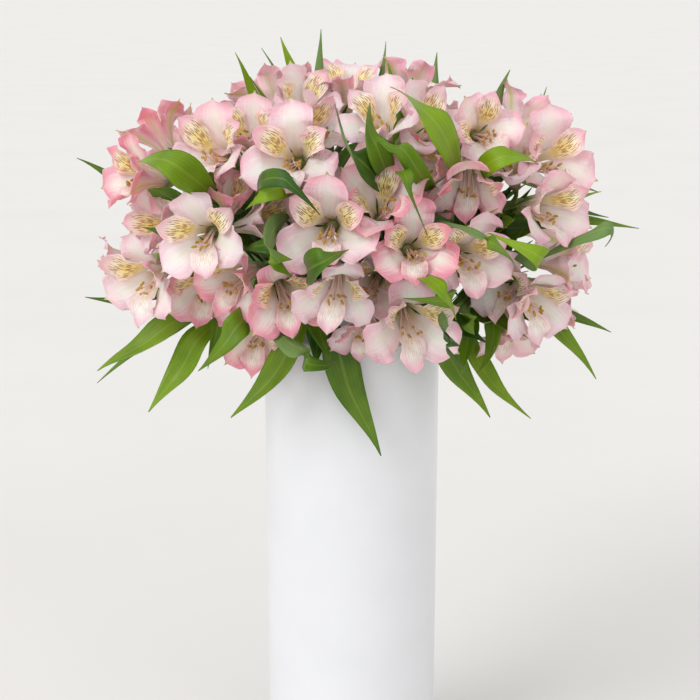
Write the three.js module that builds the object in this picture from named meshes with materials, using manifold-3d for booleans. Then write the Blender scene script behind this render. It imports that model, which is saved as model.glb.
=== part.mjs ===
// A bouquet of pale pink alstroemeria in a tall plain white cylindrical vase.
// Millimetres, +Z up, +X right, front towards -Y. The origin is the centre of the vase's foot.
//
// Pieces: the vase, its water, ten leafy stems and the blooms. A stem stands on the vase floor in a
// plain hole in the water, and carries its leaves and an umbel of thin stalks. Each stalk meets the
// foot of one bloom, end to end.

import * as THREE from 'three';
import { mergeVertices } from 'three/addons/utils/BufferGeometryUtils.js';
import Module from 'manifold-3d';

const wasm = await Module();
wasm.setup();

// ---------------------------------------------------------------- driving dimensions (mm)

const VASE_HEIGHT = 356;
const VASE_RADIUS = 63.5;
const VASE_WALL = 5;
const VASE_FLOOR = 9;
const VASE_SIDES = 36;
const FOOT_CHAMFER = 1.5;

const WATER_LEVEL = 235;
const SEAT_GAP = 0.3; // between two pieces that touch
const HOLE_CLEARANCE = 0.6; // round each stem, in the water
const SLANT_RISE = 0.4; // lifts a slanted stem, so that the low edge of its foot stands on the floor

const STEM_RADIUS = 2.7;
const SHOOT_RADIUS = 2.3; // the stem above its last node, at the rim
const STALK_RADIUS = 1.3;
const UMBEL_RADIUS = 4.2; // the swelling that the stalks grow from
const STEM_TWIST = 65; // degrees between a stem's foot and its place at the rim
const OUTER_RING = { foot: 41, rim: 46 };
const INNER_RING = { foot: 12, rim: 18 };
const NODE_HEIGHT = 345; // where the straight lower stem ends

const BLADE = 1.2; // thickness of a tepal or a leaf along its middle, where its edges don't rise
const FACE_DEPTH = 30; // from a bloom's foot to the middle of its face
const FOOT_RADIUS = 1.9; // of a bloom, where it meets its stalk
const ROOT = { z: 7, radius: 3.6 }; // where the six tepals leave the ovary

// Stations of a tepal from its root to its tip: height, radius from the bloom's axis, width, and how
// far the edges stand above the middle. `shut` is the same place in a closed bud.
const OUTER_TEPAL = [
  { z: 22, radius: 8.8, width: 9.5, cup: 1.6, shut: { z: 22, radius: 5.2 } },
  { z: 35.5, radius: 20, width: 21, cup: 1.2, shut: { z: 38, radius: 8 } },
  { z: 40, radius: 29, shut: { z: 50, radius: 5 } },
];
const INNER_TEPAL = [
  { z: 38, radius: 15.5, width: 12.5, cup: 1.4, shut: { z: 38, radius: 6.5 } },
  { z: 45.5, radius: 24, shut: { z: 51, radius: 4 } },
];

// A leaf along its length: width as a share of the leaf's own width, and fold as a share of the width.
const LEAF_STATIONS = [
  { at: 0, width: 0.12, fold: 0 },
  { at: 0.3, width: 0.14, fold: 0 },
  { at: 0.58, width: 1, fold: 0.05 },
];

const ROOM = 0.45; // least gap between two pieces that don't touch
const SLIVER = 0.05; // shorter edges than this are dropped where parts of a stem grow together
const SCRAP = 1; // cubic mm: a shell no larger than this, or a hollow's, isn't part of a stem

const COLOURS = {
  vase: 0xf2f1ee,
  water: 0xdfe9e6,
  stem: 0x5f8f2e,
  bloom: 0xf3c3c6,
};

// ---------------------------------------------------------------- the arrangement
// One entry per stem. rim: its place round the vase mouth in degrees from +X. umbel: where its stalks
// start. blooms: x, y, z of the face, turn from the front to the right, tilt up, spin, openness, size.
// A bloom marked JOINED crosses the bloom before it and is one body with it.
// leaves: share of the shoot where it grows, x, y, z of the tip, width, then how far its middle stands
// up, its roll, and how far its middle stands to the front and to the right.

const JOINED = true;

const STEMS = [
  {
    name: 'left_high', rim: 185, ring: OUTER_RING, umbel: [-78, -26, 438],
    blooms: [
      [-89, -89, 494, -25, 25, 0, 1, 1.05],
      [-68, -64, 502, -20, 45, 0, 0.9, 0.97, JOINED],
      [-95, -116, 443, -12, 5, 10, 1, 1.04],
      [-144, -61, 474, -55, 15, 0, 0.9, 1],
      [-136, -12, 497, -110, 55, 0, 0.8, 0.97],
      [-78, -100, 464, 20, 55, 0, 0.5, 0.85],
    ],
    leaves: [
      [0.96, -193, -20, 475, 14, 6, 0],
      [0.93, -131, -104, 493, 22, 23, 0, 131, 6],
      [0.9, -125, -35, 490, 13, 20, 0],
      [0.95, -64, -112, 487, 17, 5, 0],
      [0.88, -118, -112, 468, 16, 4, 0],
      [0.85, -98, -10, 520, 18, 0, 0],
      [0.9, -19, -142, 467, 12, 54, 0, 132, 27],
      [0.86, -35, -58, 481, 24, 4, 0],
    ],
  },
  {
    name: 'left_low', rim: 216, ring: OUTER_RING, umbel: [-86, -40, 392],
    blooms: [
      [-138, -74, 406, -30, -10, 0, 1, 1.1],
      [-141, -66, 442, -55, 5, 20, 0.95, 1.02],
      [-160, -22, 403, -80, -15, 0, 0.9, 0.97],
      [-102, -82, 393, -15, -20, -10, 1, 1.02],
      [-77, -102, 411, -35, -10, 0, 0.95, 1],
    ],
    leaves: [
      [0.9, -174, -60, 336, 20, 12, 0],
      [0.8, -178, -42, 322, 9, 14, 0],
      [0.84, -143, -60, 310, 22, 14, 0],
      [0.87, -103, -105, 354, 18, 43, 0, 86, 17],
      [0.93, -92, -102, 350, 8, 10, 0],
      [0.96, -188, -10, 386, 11, 5, 0],
      [0.95, -176, -34, 380, 8, 5, 0],
      [0.94, -142, -92, 424, 15, 8, 0, 74, -11],
      [0.91, -99, -87, 345, 9, 24, 0, 44, 16],
      [0.93, -13, -116, 362, 18, 8, 0, 108, 18],
    ],
  },
  {
    name: 'top_left', rim: 225, ring: INNER_RING, umbel: [-30, -26, 458],
    blooms: [
      [-37, -110, 493, -8, 20, 0, 1, 1.06],
      [-52, -66, 515, -25, 40, 15, 0.95, 1],
      [-30, -40, 528, 30, 50, 0, 0.9, 0.97, JOINED],
      [-24, -86, 506, 45, 30, 0, 0.9, 0.95],
      [-4, -8, 528, 10, 75, 0, 0.95, 1],
    ],
    leaves: [
      [0.95, -81, -30, 551, 10, 0, 0],
      [0.93, -67, -20, 537, 10, 0, 0],
      [0.96, -48, -10, 562, 14, 0, 0],
      [0.91, -26, 0, 567, 11, 0, 0],
      [0.95, -2, -32, 519, 10, 0, 0],
      [0.88, -60, -85, 494, 16, 4, 0],
      [0.86, -4, -78, 500, 18, 4, 0],
      [0.84, -22, 34, 512, 24, 4, 0],
      [0.9, -86, -8, 508, 20, 4, 0],
      [0.92, -38, -152, 420, 19, 23, 0, 135, -32],
      [0.95, -64, -128, 471, 14, 43, 0, 112, -11],
      [0.88, 6, -50, 496, 26, 4, 0],
    ],
  },
  {
    name: 'front_left', rim: 250, ring: OUTER_RING, umbel: [-27, -60, 404],
    blooms: [
      [-15, -134, 451, -5, 8, 0, 1, 1.12],
      [-20, -104, 470, 0, 40, 0, 0.85, 0.97, JOINED],
      [-43, -113, 403, 15, -10, 15, 0.95, 1.02],
      [-9, -118, 411, 0, -30, -10, 0.95, 1],
      [-66, -65, 363, -12, -35, 0, 0.9, 1],
      [-61, -100, 448, 60, 15, 0, 0.8, 0.92],
    ],
    leaves: [
      [0.95, 12, -85, 283, 25, 16, 0],
      [0.88, -81, -80, 309, 22, 12, 0],
      [0.96, 4, -154, 439, 22, -1, 0, 120, -25],
      [0.92, -12, -88, 355, 20, 8, 0],
      [0.95, -33, -125, 424, 18, 5, 0],
      [0.93, -71, -117, 429, 16, 35, 0, 96, 2],
      [0.85, -24, -75, 345, 18, 8, 0],
      [0.94, -18, -128, 472, 11, 5, 0],
      [0.9, -46, -112, 455, 16, 5, 0],
      [0.88, 25, -84, 442, 24, 4, 0],
    ],
  },
  {
    name: 'front_right', rim: 290, ring: OUTER_RING, umbel: [25, -60, 408],
    blooms: [
      [38, -114, 386, 12, -10, 0, 1, 1.14],
      [14, -98, 408, -10, 0, 0, 0.85, 0.95, JOINED],
      [39, -132, 438, 8, 15, 0, 0.95, 1.04],
      [18, -123, 465, 0, 30, 10, 0.95, 1.02],
      [74, -116, 430, 20, 5, -10, 1, 1.04],
      [8, -84, 373, -5, -50, 0, 0.85, 0.92],
    ],
    leaves: [
      [0.9, 93, -80, 310, 24, 12, 0],
      [0.94, 86, -128, 451, 14, 5, 0],
      [0.93, 63, -145, 404, 12, 47, 0, 117, 9],
      [0.96, 60, -120, 408, 13, 5, 0],
      [0.95, 38, -132, 407, 12, 9, 0, 82, 51],
      [0.91, 10, -95, 502, 18, 0, 0],
      [0.87, 30, -110, 412, 18, 5, 0],
      [0.85, -2, -118, 430, 16, 5, 0],
      [0.86, 4, -62, 483, 26, 4, 0],
      [0.86, 111, -74, 408, 22, 6, 0],
      [0.84, 90, -72, 360, 24, 8, 0],
    ],
  },
  {
    name: 'top_right', rim: 315, ring: INNER_RING, umbel: [42, -28, 452],
    blooms: [
      [18, -88, 513, -15, 45, 0, 0.9, 1],
      [46, -80, 509, 10, 35, 10, 0.95, 1],
      [52, -98, 484, -50, 10, 0, 0.9, 0.97],
      [74, -106, 474, -25, -10, 0, 0.9, 1],
      [78, -76, 495, 40, 45, 0, 0.9, 0.97, JOINED],
    ],
    leaves: [
      [0.93, 39, -50, 537, 24, 0, 0],
      [0.95, -8, -103, 517, 22, 8, 0, 134, -16],
      [0.96, 26, -20, 545, 15, 0, 0],
      [0.91, 18, 2, 557, 9, 0, 0],
      [0.95, 87, -20, 525, 14, 0, 0],
      [0.94, 43, -105, 490, 13, 4, 0],
      [0.88, 60, -112, 455, 16, 4, 0],
      [0.84, 24, 32, 516, 24, 4, 0],
      [0.9, 92, 4, 512, 20, 4, 0],
      [0.93, 10, -107, 503, 16, 25, 0, 133, -18],
      [0.94, 51, -142, 457, 10, 51, 0, 123, -28],
      [0.9, 85, -131, 451, 13, 11, 0, 150, -9],
    ],
  },
  {
    name: 'right_high', rim: 352, ring: OUTER_RING, umbel: [80, -16, 432],
    blooms: [
      [130, -72, 486, 30, 15, 0, 1, 1.05],
      [102, -78, 488, -20, 45, 0, 0.85, 1, JOINED],
      [118, -9, 504, 130, 45, 0, 0.9, 1],
      [140, 22, 490, 110, 30, 0, 0.9, 0.97],
      [136, -48, 456, 80, 20, 0, 0.85, 0.95],
    ],
    leaves: [
      [0.95, 120, 0, 533, 17, 0, 0],
      [0.96, 89, -10, 524, 11, 0, 0],
      [0.93, 134, 8, 530, 10, 0, 0],
      [0.92, 201, -20, 433, 12, 12, 0],
      [0.95, 179, -20, 442, 12, 10, 0],
      [0.96, 176, -10, 453, 10, 10, 0],
      [0.94, 152, -40, 461, 10, 6, 0],
      [0.9, 117, -105, 466, 15, 5, 0],
      [0.86, 98, -105, 446, 18, 5, 0],
      [0.93, 20, -124, 495, 13, 57, 0, 127, -20],
      [0.95, 37, -91, 539, 24, 37, 0, 138, 6],
      [0.96, 116, -100, 466, 15, 40, 0, 126, -1],
      [0.9, 89, -125, 434, 17, -10, 0, 116, 60],
      [0.88, 23, -52, 475, 24, 4, 0],
      [0.84, 140, -58, 449, 22, 6, 0],
    ],
  },
  {
    name: 'right_low', rim: 324, ring: OUTER_RING, umbel: [86, -40, 392],
    blooms: [
      [127, -94, 456, 35, 0, 0, 0.95, 1.02],
      [142, -70, 418, 65, 5, 0, 1, 1.02],
      [122, -84, 393, 30, -20, 0, 1, 1.04],
      [97, -93, 402, -30, 0, 0, 0.85, 0.95, JOINED],
      [147, -38, 391, 85, -10, 0, 0.9, 0.97],
      [108, -50, 363, 15, -60, 0, 0.85, 0.97],
    ],
    leaves: [
      [0.85, 124, -60, 303, 18, 12, 0],
      [0.9, 167, -60, 331, 16, 12, 0],
      [0.92, 143, -70, 366, 9, 8, 0],
      [0.95, 89, -90, 381, 16, 8, 0, 54, -32],
      [0.93, 74, -75, 338, 14, 8, 0],
      [0.96, 89, -100, 381, 20, 6, 0],
      [0.94, 112, -95, 380, 10, 6, 0],
      [0.96, 181, -40, 363, 11, 8, 0],
      [0.95, 154, -95, 439, 11, 47, 0, 95, 36],
      [0.9, 85, -61, 339, 15, 12, 0, 30, 26],
      [0.93, 100, -98, 453, 24, 4, 0, 16],
      [0.94, 73, -124, 357, 15, 21, 0, 89, -32],
    ],
  },
  {
    name: 'back_left', rim: 130, ring: OUTER_RING, umbel: [-50, 42, 428],
    blooms: [
      [-122, 34, 478, -120, 30, 0, 1, 1.1],
      [-56, 14, 522, -120, 65, 0, 1, 1.08],
      [-66, 52, 506, -160, 50, 0, 1, 1.08, JOINED],
      [-138, 50, 422, -120, 0, 0, 1, 1.1],
      [-80, 92, 458, -155, 15, 0, 1, 1.12],
      [-42, 100, 412, -170, -10, 0, 1, 1.1],
      [-86, 86, 406, -145, -15, 0, 1, 1.08, JOINED],
    ],
    leaves: [
      [0.96, -182, 45, 448, 20, 10, 0],
      [0.9, -150, 80, 360, 24, 12, 0],
      [0.87, -90, 108, 345, 24, 10, 0],
      [0.95, -66, 45, 552, 15, 0, 0],
      [0.93, -20, 90, 520, 20, 0, 0],
      [0.96, -48, 130, 470, 20, 5, 0],
      [0.94, -116, 95, 492, 20, 5, 0],
      [0.84, -28, 95, 300, 26, 12, 0],
      [0.91, -108, 100, 430, 20, 6, 0],
    ],
  },
  {
    name: 'back_right', rim: 48, ring: OUTER_RING, umbel: [50, 42, 428],
    blooms: [
      [100, 46, 482, 125, 35, 0, 1, 1.1],
      [44, 10, 526, 120, 70, 0, 1, 1.08],
      [44, 52, 508, 165, 50, 0, 1, 1.08, JOINED],
      [142, 38, 424, 105, 0, 0, 1, 1.1],
      [84, 90, 446, 145, 10, 0, 1, 1.12],
      [14, 100, 448, 178, 10, 0, 1, 1.1],
      [72, 88, 398, 150, -15, 0, 1, 1.08],
    ],
    leaves: [
      [0.96, 186, 40, 440, 20, 10, 0],
      [0.9, 150, 82, 356, 24, 12, 0],
      [0.87, 84, 112, 342, 24, 10, 0],
      [0.95, 62, 52, 548, 15, 0, 0],
      [0.93, 68, 96, 506, 20, 0, 0],
      [0.96, 50, 132, 470, 20, 5, 0],
      [0.94, 130, 82, 476, 20, 5, 0],
      [0.84, 36, 95, 292, 26, 12, 0],
      [0.91, 112, 96, 424, 20, 6, 0],
    ],
  },
];

// ---------------------------------------------------------------- small helpers

const UP = new THREE.Vector3(0, 0, 1);
const radians = THREE.MathUtils.degToRad;
const mix = THREE.MathUtils.lerp;

function alongDirection(origin, direction, distance) {
  return origin.clone().addScaledVector(direction, distance);
}

// A closed surface from a list of points and a list of triangles.
function surface(points, faces) {
  const geometry = new THREE.BufferGeometry().setFromPoints(points);
  geometry.setIndex(faces.flat());
  return geometry;
}

function solid(geometry) {
  const bare = geometry.clone();
  bare.deleteAttribute('normal');
  bare.deleteAttribute('uv');
  const merged = mergeVertices(bare, 1e-3);
  const triangles = [];
  for (let i = 0; i < merged.index.count; i += 3) {
    const [a, b, c] = [0, 1, 2].map((corner) => merged.index.getX(i + corner));
    if (a !== b && b !== c && c !== a) triangles.push(a, b, c);
  }
  return new wasm.Manifold(new wasm.Mesh({
    numProp: 3,
    vertProperties: new Float32Array(merged.attributes.position.array),
    triVerts: new Uint32Array(triangles),
  }));
}

function geometryOf(body) {
  const mesh = body.getMesh();
  const geometry = new THREE.BufferGeometry();
  geometry.setAttribute('position', new THREE.BufferAttribute(new Float32Array(mesh.vertProperties), 3));
  geometry.setIndex(Array.from(mesh.triVerts));
  return geometry;
}

// A round bar along a curve, as a prism with a few sides.
function tube(curve, radius, sides, steps) {
  const corners = [];
  for (let i = 0; i < sides; i += 1) {
    const angle = (2 * Math.PI * i) / sides;
    corners.push(new THREE.Vector2(radius * Math.cos(angle), radius * Math.sin(angle)));
  }
  return new THREE.ExtrudeGeometry(new THREE.Shape(corners), { steps, extrudePath: curve });
}

// ---------------------------------------------------------------- blades: tepals and leaves
// A section of a blade is three points: its right edge, its left edge and the keel under its middle.

function joinSections(faces, from, to) {
  const [right, left, keel] = from;
  const [rightTo, leftTo, keelTo] = to;
  faces.push(
    [right, rightTo, leftTo], [right, leftTo, left],
    [right, keelTo, rightTo], [right, keel, keelTo],
    [left, keelTo, keel], [left, leftTo, keelTo],
  );
}

function closeTip(faces, from, tip) {
  const [right, left, keel] = from;
  faces.push([right, tip, left], [right, keel, tip], [keel, left, tip]);
}

// The three points of a section round its middle. `across` points to the left edge.
function sectionPoints(middle, across, normal, width, rise) {
  const raised = alongDirection(middle, normal, rise);
  return [
    alongDirection(raised, across, -width / 2),
    alongDirection(raised, across, width / 2),
    alongDirection(middle, normal, -BLADE / 2),
  ];
}

// ---------------------------------------------------------------- bloom

// Where a station lies when the bloom is only partly open.
function openedStation(station, openness) {
  return {
    z: mix(station.shut.z, station.z, openness),
    radius: mix(station.shut.radius, station.radius, openness),
    width: station.width * mix(0.7, 1, openness),
    cup: station.cup,
  };
}

// A bloom in its own frame: foot at the origin, facing +Z, its marked pair of inner tepals towards +Y.
// Tepals stand every 60 degrees from 30, inner and outer in turn; the stamen curves towards -Y.
function bloomGeometry(openness, size) {
  const points = [];
  const faces = [];
  const add = (point) => points.push(point) - 1;
  const polar = (degrees, radius, z) => new THREE.Vector3(
    radius * Math.cos(radians(degrees)), radius * Math.sin(radians(degrees)), z);

  const foot = [];
  const joint = [];
  const keel = [];
  for (let k = 0; k < 6; k += 1) {
    foot.push(add(polar(60 * k, FOOT_RADIUS, 0)));
    joint.push(add(polar(60 * k, ROOT.radius, ROOT.z)));
    keel.push(add(polar(60 * k + 30, ROOT.radius + BLADE / 2, ROOT.z)));
  }
  const throat = add(new THREE.Vector3(0, 0, ROOT.z + 1));

  for (let k = 0; k < 6; k += 1) {
    const next = (k + 1) % 6;
    // ovary wall and foot
    faces.push([foot[k], foot[next], keel[k]]);
    faces.push([foot[k], keel[k], joint[k]], [foot[next], joint[next], keel[k]]);
    if (k > 0 && k < 5) faces.push([foot[0], foot[next], foot[k]]);

    // tepal
    const degrees = 60 * k + 30;
    const across = polar(degrees + 90, 1, 0);
    const stations = (k % 2 ? OUTER_TEPAL : INNER_TEPAL).map((station) => openedStation(station, openness));
    const line = [{ z: ROOT.z, radius: ROOT.radius }, ...stations];
    let section = [joint[k], joint[next], keel[k]];
    for (let i = 1; i < line.length - 1; i += 1) {
      const rise = line[i + 1].z - line[i - 1].z;
      const reach = line[i + 1].radius - line[i - 1].radius;
      const normal = polar(degrees, -rise, reach).normalize();
      const middle = polar(degrees, line[i].radius, line[i].z);
      const corners = sectionPoints(middle, across, normal, line[i].width, line[i].cup);
      const nextSection = corners.map(add);
      joinSections(faces, section, nextSection);
      section = nextSection;
    }
    const last = line[line.length - 1];
    closeTip(faces, section, add(polar(degrees, last.radius, last.z)));

    // throat, with a stamen standing on one of its facets
    const facet = [throat, joint[k], joint[next]];
    if (k === 4) addStamen(points, faces, facet, new THREE.Vector3(1, -6, 35));
    else faces.push(facet);
  }
  const geometry = surface(points, faces);
  geometry.scale(size, size, size);
  return geometry;
}

// A stamen grows out of one triangle: a filament, an anther and a point.
function addStamen(points, faces, base, anther) {
  const root = base.map((index) => points[index]);
  const centre = root.reduce((sum, point) => sum.add(point), new THREE.Vector3()).divideScalar(3);
  let ring = base;
  const levels = [
    { at: centre.clone().lerp(anther, 0.72).add(new THREE.Vector3(0, 1.4, 0)), scale: 0.62 },
    { at: anther, scale: 1.35 },
  ];
  for (const level of levels) {
    const ringTo = root.map((point) => points.push(
      point.clone().sub(centre).multiplyScalar(level.scale).add(level.at)) - 1);
    for (let i = 0; i < 3; i += 1) {
      const j = (i + 1) % 3;
      faces.push([ring[i], ring[j], ringTo[j]], [ring[i], ringTo[j], ringTo[i]]);
    }
    ring = ringTo;
  }
  const tip = points.push(anther.clone().add(new THREE.Vector3(0, -0.6, 4))) - 1;
  for (let i = 0; i < 3; i += 1) faces.push([ring[i], ring[(i + 1) % 3], tip]);
}

// ---------------------------------------------------------------- leaf

// The upper face of a leaf looks up and outwards, and more outwards on one that bows over the blooms.
function leafFacing(y, bow) {
  return new THREE.Vector3(0, Math.sign(y || 1) * (bow ? 1.3 : 0.6), 0.8);
}

// A lance-shaped leaf from its root on the stem to its tip. `bend` moves its middle off the straight line.
// `facing` is the way that its upper face looks, `roll` turns the blade round its own line.
function leafGeometry(root, tip, width, bend, roll, facing) {
  const middle = root.clone().lerp(tip, 0.5).add(bend);
  const line = new THREE.QuadraticBezierCurve3(root, middle, tip);
  const sideways = new THREE.Vector3().crossVectors(facing, tip.clone().sub(middle));
  const points = [];
  const faces = [];
  let section = null;
  for (const station of LEAF_STATIONS) {
    const tangent = line.getTangent(station.at);
    const across = sideways.clone().projectOnPlane(tangent).normalize();
    across.applyAxisAngle(tangent, radians(roll));
    const normal = new THREE.Vector3().crossVectors(tangent, across);
    const wide = Math.max(width * station.width, BLADE * 1.5);
    const corners = sectionPoints(line.getPoint(station.at), across, normal, wide, width * station.fold);
    const nextSection = corners.map((corner) => points.push(corner) - 1);
    if (section) {
      joinSections(faces, section, nextSection);
    } else {
      faces.push(nextSection);
    }
    section = nextSection;
  }
  closeTip(faces, section, points.push(tip) - 1);
  return surface(points, faces);
}

// Whether an edge of a leaf passes through one of its other faces.
function crossesItself(geometry) {
  const { index, attributes } = geometry;
  const ray = new THREE.Ray();
  const hit = new THREE.Vector3();
  const faces = [];
  for (let i = 0; i < index.count; i += 3) faces.push([0, 1, 2].map((k) => index.getX(i + k)));
  const points = Array.from({ length: attributes.position.count }, (_, i) =>
    new THREE.Vector3().fromBufferAttribute(attributes.position, i));
  return faces.some((face) => face.some((from, k) => {
    const to = face[(k + 1) % 3];
    const length = points[from].distanceTo(points[to]);
    ray.set(points[from], points[to].clone().sub(points[from]).divideScalar(length));
    return faces.some((other) => !other.includes(from) && !other.includes(to)
      && ray.intersectTriangle(...other.map((corner) => points[corner]), false, hit)
      && hit.distanceTo(points[from]) < length);
  }));
}

// ---------------------------------------------------------------- finding room
// A bloom or a leaf takes the first small change of its place that leaves it clear of what already
// stands. Trials are sorted by how much they change.

function trials(...choices) {
  let combined = [{ values: [], cost: 0 }];
  for (const { values, weight } of choices) {
    combined = combined.flatMap((row) => values.map((value) => ({
      values: [...row.values, value],
      cost: row.cost + Math.abs(value) * weight,
    })));
  }
  return combined.sort((a, b) => a.cost - b.cost).map((row) => row.values);
}

const BLOOM_TRIALS = trials(
  { values: [0, 5, -5, 10, -10, 15, -15, -22, -30], weight: 1 / 8 }, // slide along the facing
  { values: [0, 10, -10, 20, -20, 30, -30], weight: 1 / 14 }, // turn
  { values: [0, 10, -10, 20, -20, 30, -30], weight: 1 / 14 }, // tilt
  { values: [0, 20, -20, 40], weight: 1 / 30 }, // spin
);

const LEAF_TRIALS = trials(
  { values: [0, 6, -6, 12, -12, 20, -20, 30, -30], weight: 1 / 7 }, // sideways swing of the tip
  { values: [0, 6, -6, 12, -12, 20, -20, 30, -30], weight: 1 / 7 }, // rise of the tip
  { values: [0, 18, -18, 36, -36], weight: 1 / 24 }, // its middle to the side
  { values: [0, 10, 20, 32], weight: 1 / 24 }, // its middle to the front
  { values: [0, 12, -12, 24], weight: 1 / 24 }, // arch
  { values: [0, 35, -35, 70], weight: 1 / 90 }, // roll
);

function boxesMeet(a, b) {
  return [0, 1, 2].every((i) => a.min[i] <= b.max[i] + ROOM && b.min[i] <= a.max[i] + ROOM);
}

const standing = []; // every solid so far: { owner, kind, body, box }

function isClear(body, mayTouch) {
  const box = body.boundingBox();
  return standing.every((other) => mayTouch(other)
    || !boxesMeet(box, other.box) || body.minGap(other.body, ROOM) >= ROOM);
}

function settle(owner, kind, body) {
  standing.push({ owner, kind, body, box: body.boundingBox() });
  return body;
}

// ---------------------------------------------------------------- vase and water

function vaseGeometry() {
  const inner = VASE_RADIUS - VASE_WALL;
  const lip = VASE_WALL * 0.3;
  const profile = [
    [0, 0],
    [VASE_RADIUS - FOOT_CHAMFER, 0],
    [VASE_RADIUS, FOOT_CHAMFER],
    [VASE_RADIUS, VASE_HEIGHT - lip],
    [VASE_RADIUS - lip, VASE_HEIGHT],
    [inner + lip, VASE_HEIGHT],
    [inner, VASE_HEIGHT - lip],
    [inner, VASE_FLOOR],
    [0, VASE_FLOOR],
  ].map(([x, y]) => new THREE.Vector2(x, y));
  return new THREE.LatheGeometry(profile, VASE_SIDES).rotateX(Math.PI / 2);
}

// The water, with a plain slanted hole for each stem.
function waterBody(lines) {
  const bottom = VASE_FLOOR + SEAT_GAP;
  const radius = (VASE_RADIUS - VASE_WALL) * Math.cos(Math.PI / VASE_SIDES) - SEAT_GAP;
  const height = WATER_LEVEL - bottom;
  const fill = new THREE.CylinderGeometry(radius, radius, height, 28).rotateX(Math.PI / 2);
  let water = solid(fill.translate(0, 0, bottom + height / 2));
  for (const line of lines) {
    const through = new THREE.LineCurve3(line.getPoint(-0.02), line.getPoint(1));
    water = water.subtract(solid(tube(through, STEM_RADIUS + HOLE_CLEARANCE, 6, 1)));
  }
  return water;
}

// ---------------------------------------------------------------- stems

function stemLine(stem) {
  const onRing = (radius, degrees, z) => new THREE.Vector3(
    radius * Math.cos(radians(degrees)), radius * Math.sin(radians(degrees)), z);
  const foot = onRing(stem.ring.foot, stem.rim - STEM_TWIST, VASE_FLOOR + SEAT_GAP + SLANT_RISE);
  return new THREE.LineCurve3(foot, onRing(stem.ring.rim, stem.rim, NODE_HEIGHT));
}

// From inside the last node of the straight stem up to the umbel, leaning outwards.
function shootCurve(stem, line) {
  const umbel = new THREE.Vector3(...stem.umbel);
  const start = line.getPoint(0.985);
  const reach = start.distanceTo(umbel) / 3;
  const leaning = new THREE.Vector3(umbel.x, umbel.y, 0).normalize().lerp(UP, 0.55).normalize();
  return new THREE.CubicBezierCurve3(
    start,
    alongDirection(start, line.getTangent(1), reach),
    alongDirection(umbel, leaning, -reach),
    umbel,
  );
}

// A stalk from the umbel to just short of a bloom's foot. It sets out almost straight for the foot,
// so that the stalks part soon, and arrives straight behind the bloom.
function stalkCurve(umbel, leaning, foot, facing) {
  const end = alongDirection(foot, facing, -SEAT_GAP);
  const reach = umbel.distanceTo(end) * 0.36;
  const setOut = end.clone().sub(umbel).normalize().lerp(leaning, 0.2).normalize();
  return new THREE.CubicBezierCurve3(
    umbel,
    alongDirection(umbel, setOut, reach),
    alongDirection(end, facing, -reach),
    end,
  );
}

// One body from all the parts of a stem. A hollow that they close in between them is filled.
function fused(parts) {
  const shells = wasm.Manifold.union(parts).simplify(SLIVER).decompose();
  return wasm.Manifold.compose(shells.filter((shell) => shell.volume() > SCRAP));
}

// ---------------------------------------------------------------- placing blooms and leaves

// The pose of a bloom from its face, its facing and a trial's small changes.
function bloomPose(row, trial) {
  const [x, y, z, turn, tilt, spin, , size] = row;
  const [slide, turnBy, tiltBy, spinBy] = trial;
  const facingOf = (a, b) => new THREE.Vector3(
    Math.sin(radians(a)) * Math.cos(radians(b)),
    -Math.cos(radians(a)) * Math.cos(radians(b)),
    Math.sin(radians(b)),
  );
  const facing = facingOf(turn + turnBy, tilt + tiltBy);
  const right = new THREE.Vector3(Math.cos(radians(turn + turnBy)), Math.sin(radians(turn + turnBy)), 0);
  const top = new THREE.Vector3().crossVectors(facing, right);
  const face = alongDirection(new THREE.Vector3(x, y, z), facingOf(turn, tilt), slide);
  const foot = alongDirection(face, facing, -FACE_DEPTH * size);
  const basis = new THREE.Matrix4().makeBasis(right, top, facing);
  const turned = new THREE.Quaternion().setFromRotationMatrix(basis);
  const spun = new THREE.Quaternion().setFromAxisAngle(UP, radians(spin + spinBy));
  return { foot, facing, turned: turned.multiply(spun) };
}

const failures = [];

// Finds room for one bloom and its stalk. `partner` is the bloom that it crosses, if it is a joined one.
function placeBloom(stem, row, name, partner) {
  const geometry = bloomGeometry(row[6], row[7]);
  for (const trial of BLOOM_TRIALS) {
    const pose = bloomPose(row, trial);
    const matrix = new THREE.Matrix4().compose(pose.foot, pose.turned, new THREE.Vector3(1, 1, 1));
    const body = solid(geometry.clone().applyMatrix4(matrix));
    if (!isClear(body, (other) => partner && other.body === partner.body)) continue;
    if (partner && body.add(partner.body).decompose().length > 1) continue;
    const curve = stalkCurve(stem.tip, stem.leaning, pose.foot, pose.facing);
    const stalk = solid(tube(curve, STALK_RADIUS, 4, 3));
    if (!isClear(stalk, (other) => other.owner === stem.name)) continue;
    if (stalk.minGap(body, SEAT_GAP) < SEAT_GAP * 0.8) continue;
    settle(name, 'bloom', body);
    stem.parts.push(settle(stem.name, 'green', stalk));
    return { name, geometry, pose, body };
  }
  failures.push(name);
  return null;
}

function placeLeaf(stem, row, name) {
  const [share, x, y, z, width, arch, roll, bow = 0, side = 0] = row;
  const root = stem.shoot.getPoint(share);
  const tip = new THREE.Vector3(x, y, z);
  const facing = leafFacing(y, bow);
  const sideways = new THREE.Vector3().subVectors(tip, root).cross(facing).normalize();
  const rising = new THREE.Vector3().crossVectors(sideways, tip.clone().sub(root)).normalize();
  for (const [swing, rise, sideBy, bowBy, archBy, rollBy] of LEAF_TRIALS) {
    const moved = alongDirection(alongDirection(tip, sideways, swing), rising, rise);
    const bend = new THREE.Vector3(side + sideBy, -bow - bowBy, arch + archBy);
    const geometry = leafGeometry(root, moved, width, bend, roll + rollBy, facing);
    const blade = solid(geometry);
    if (!isClear(blade, (other) => other.owner === stem.name)) continue;
    if (crossesItself(geometry)) continue;
    stem.parts.push(settle(stem.name, 'green', blade));
    return;
  }
  failures.push(name);
}

// ---------------------------------------------------------------- assembly

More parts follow.
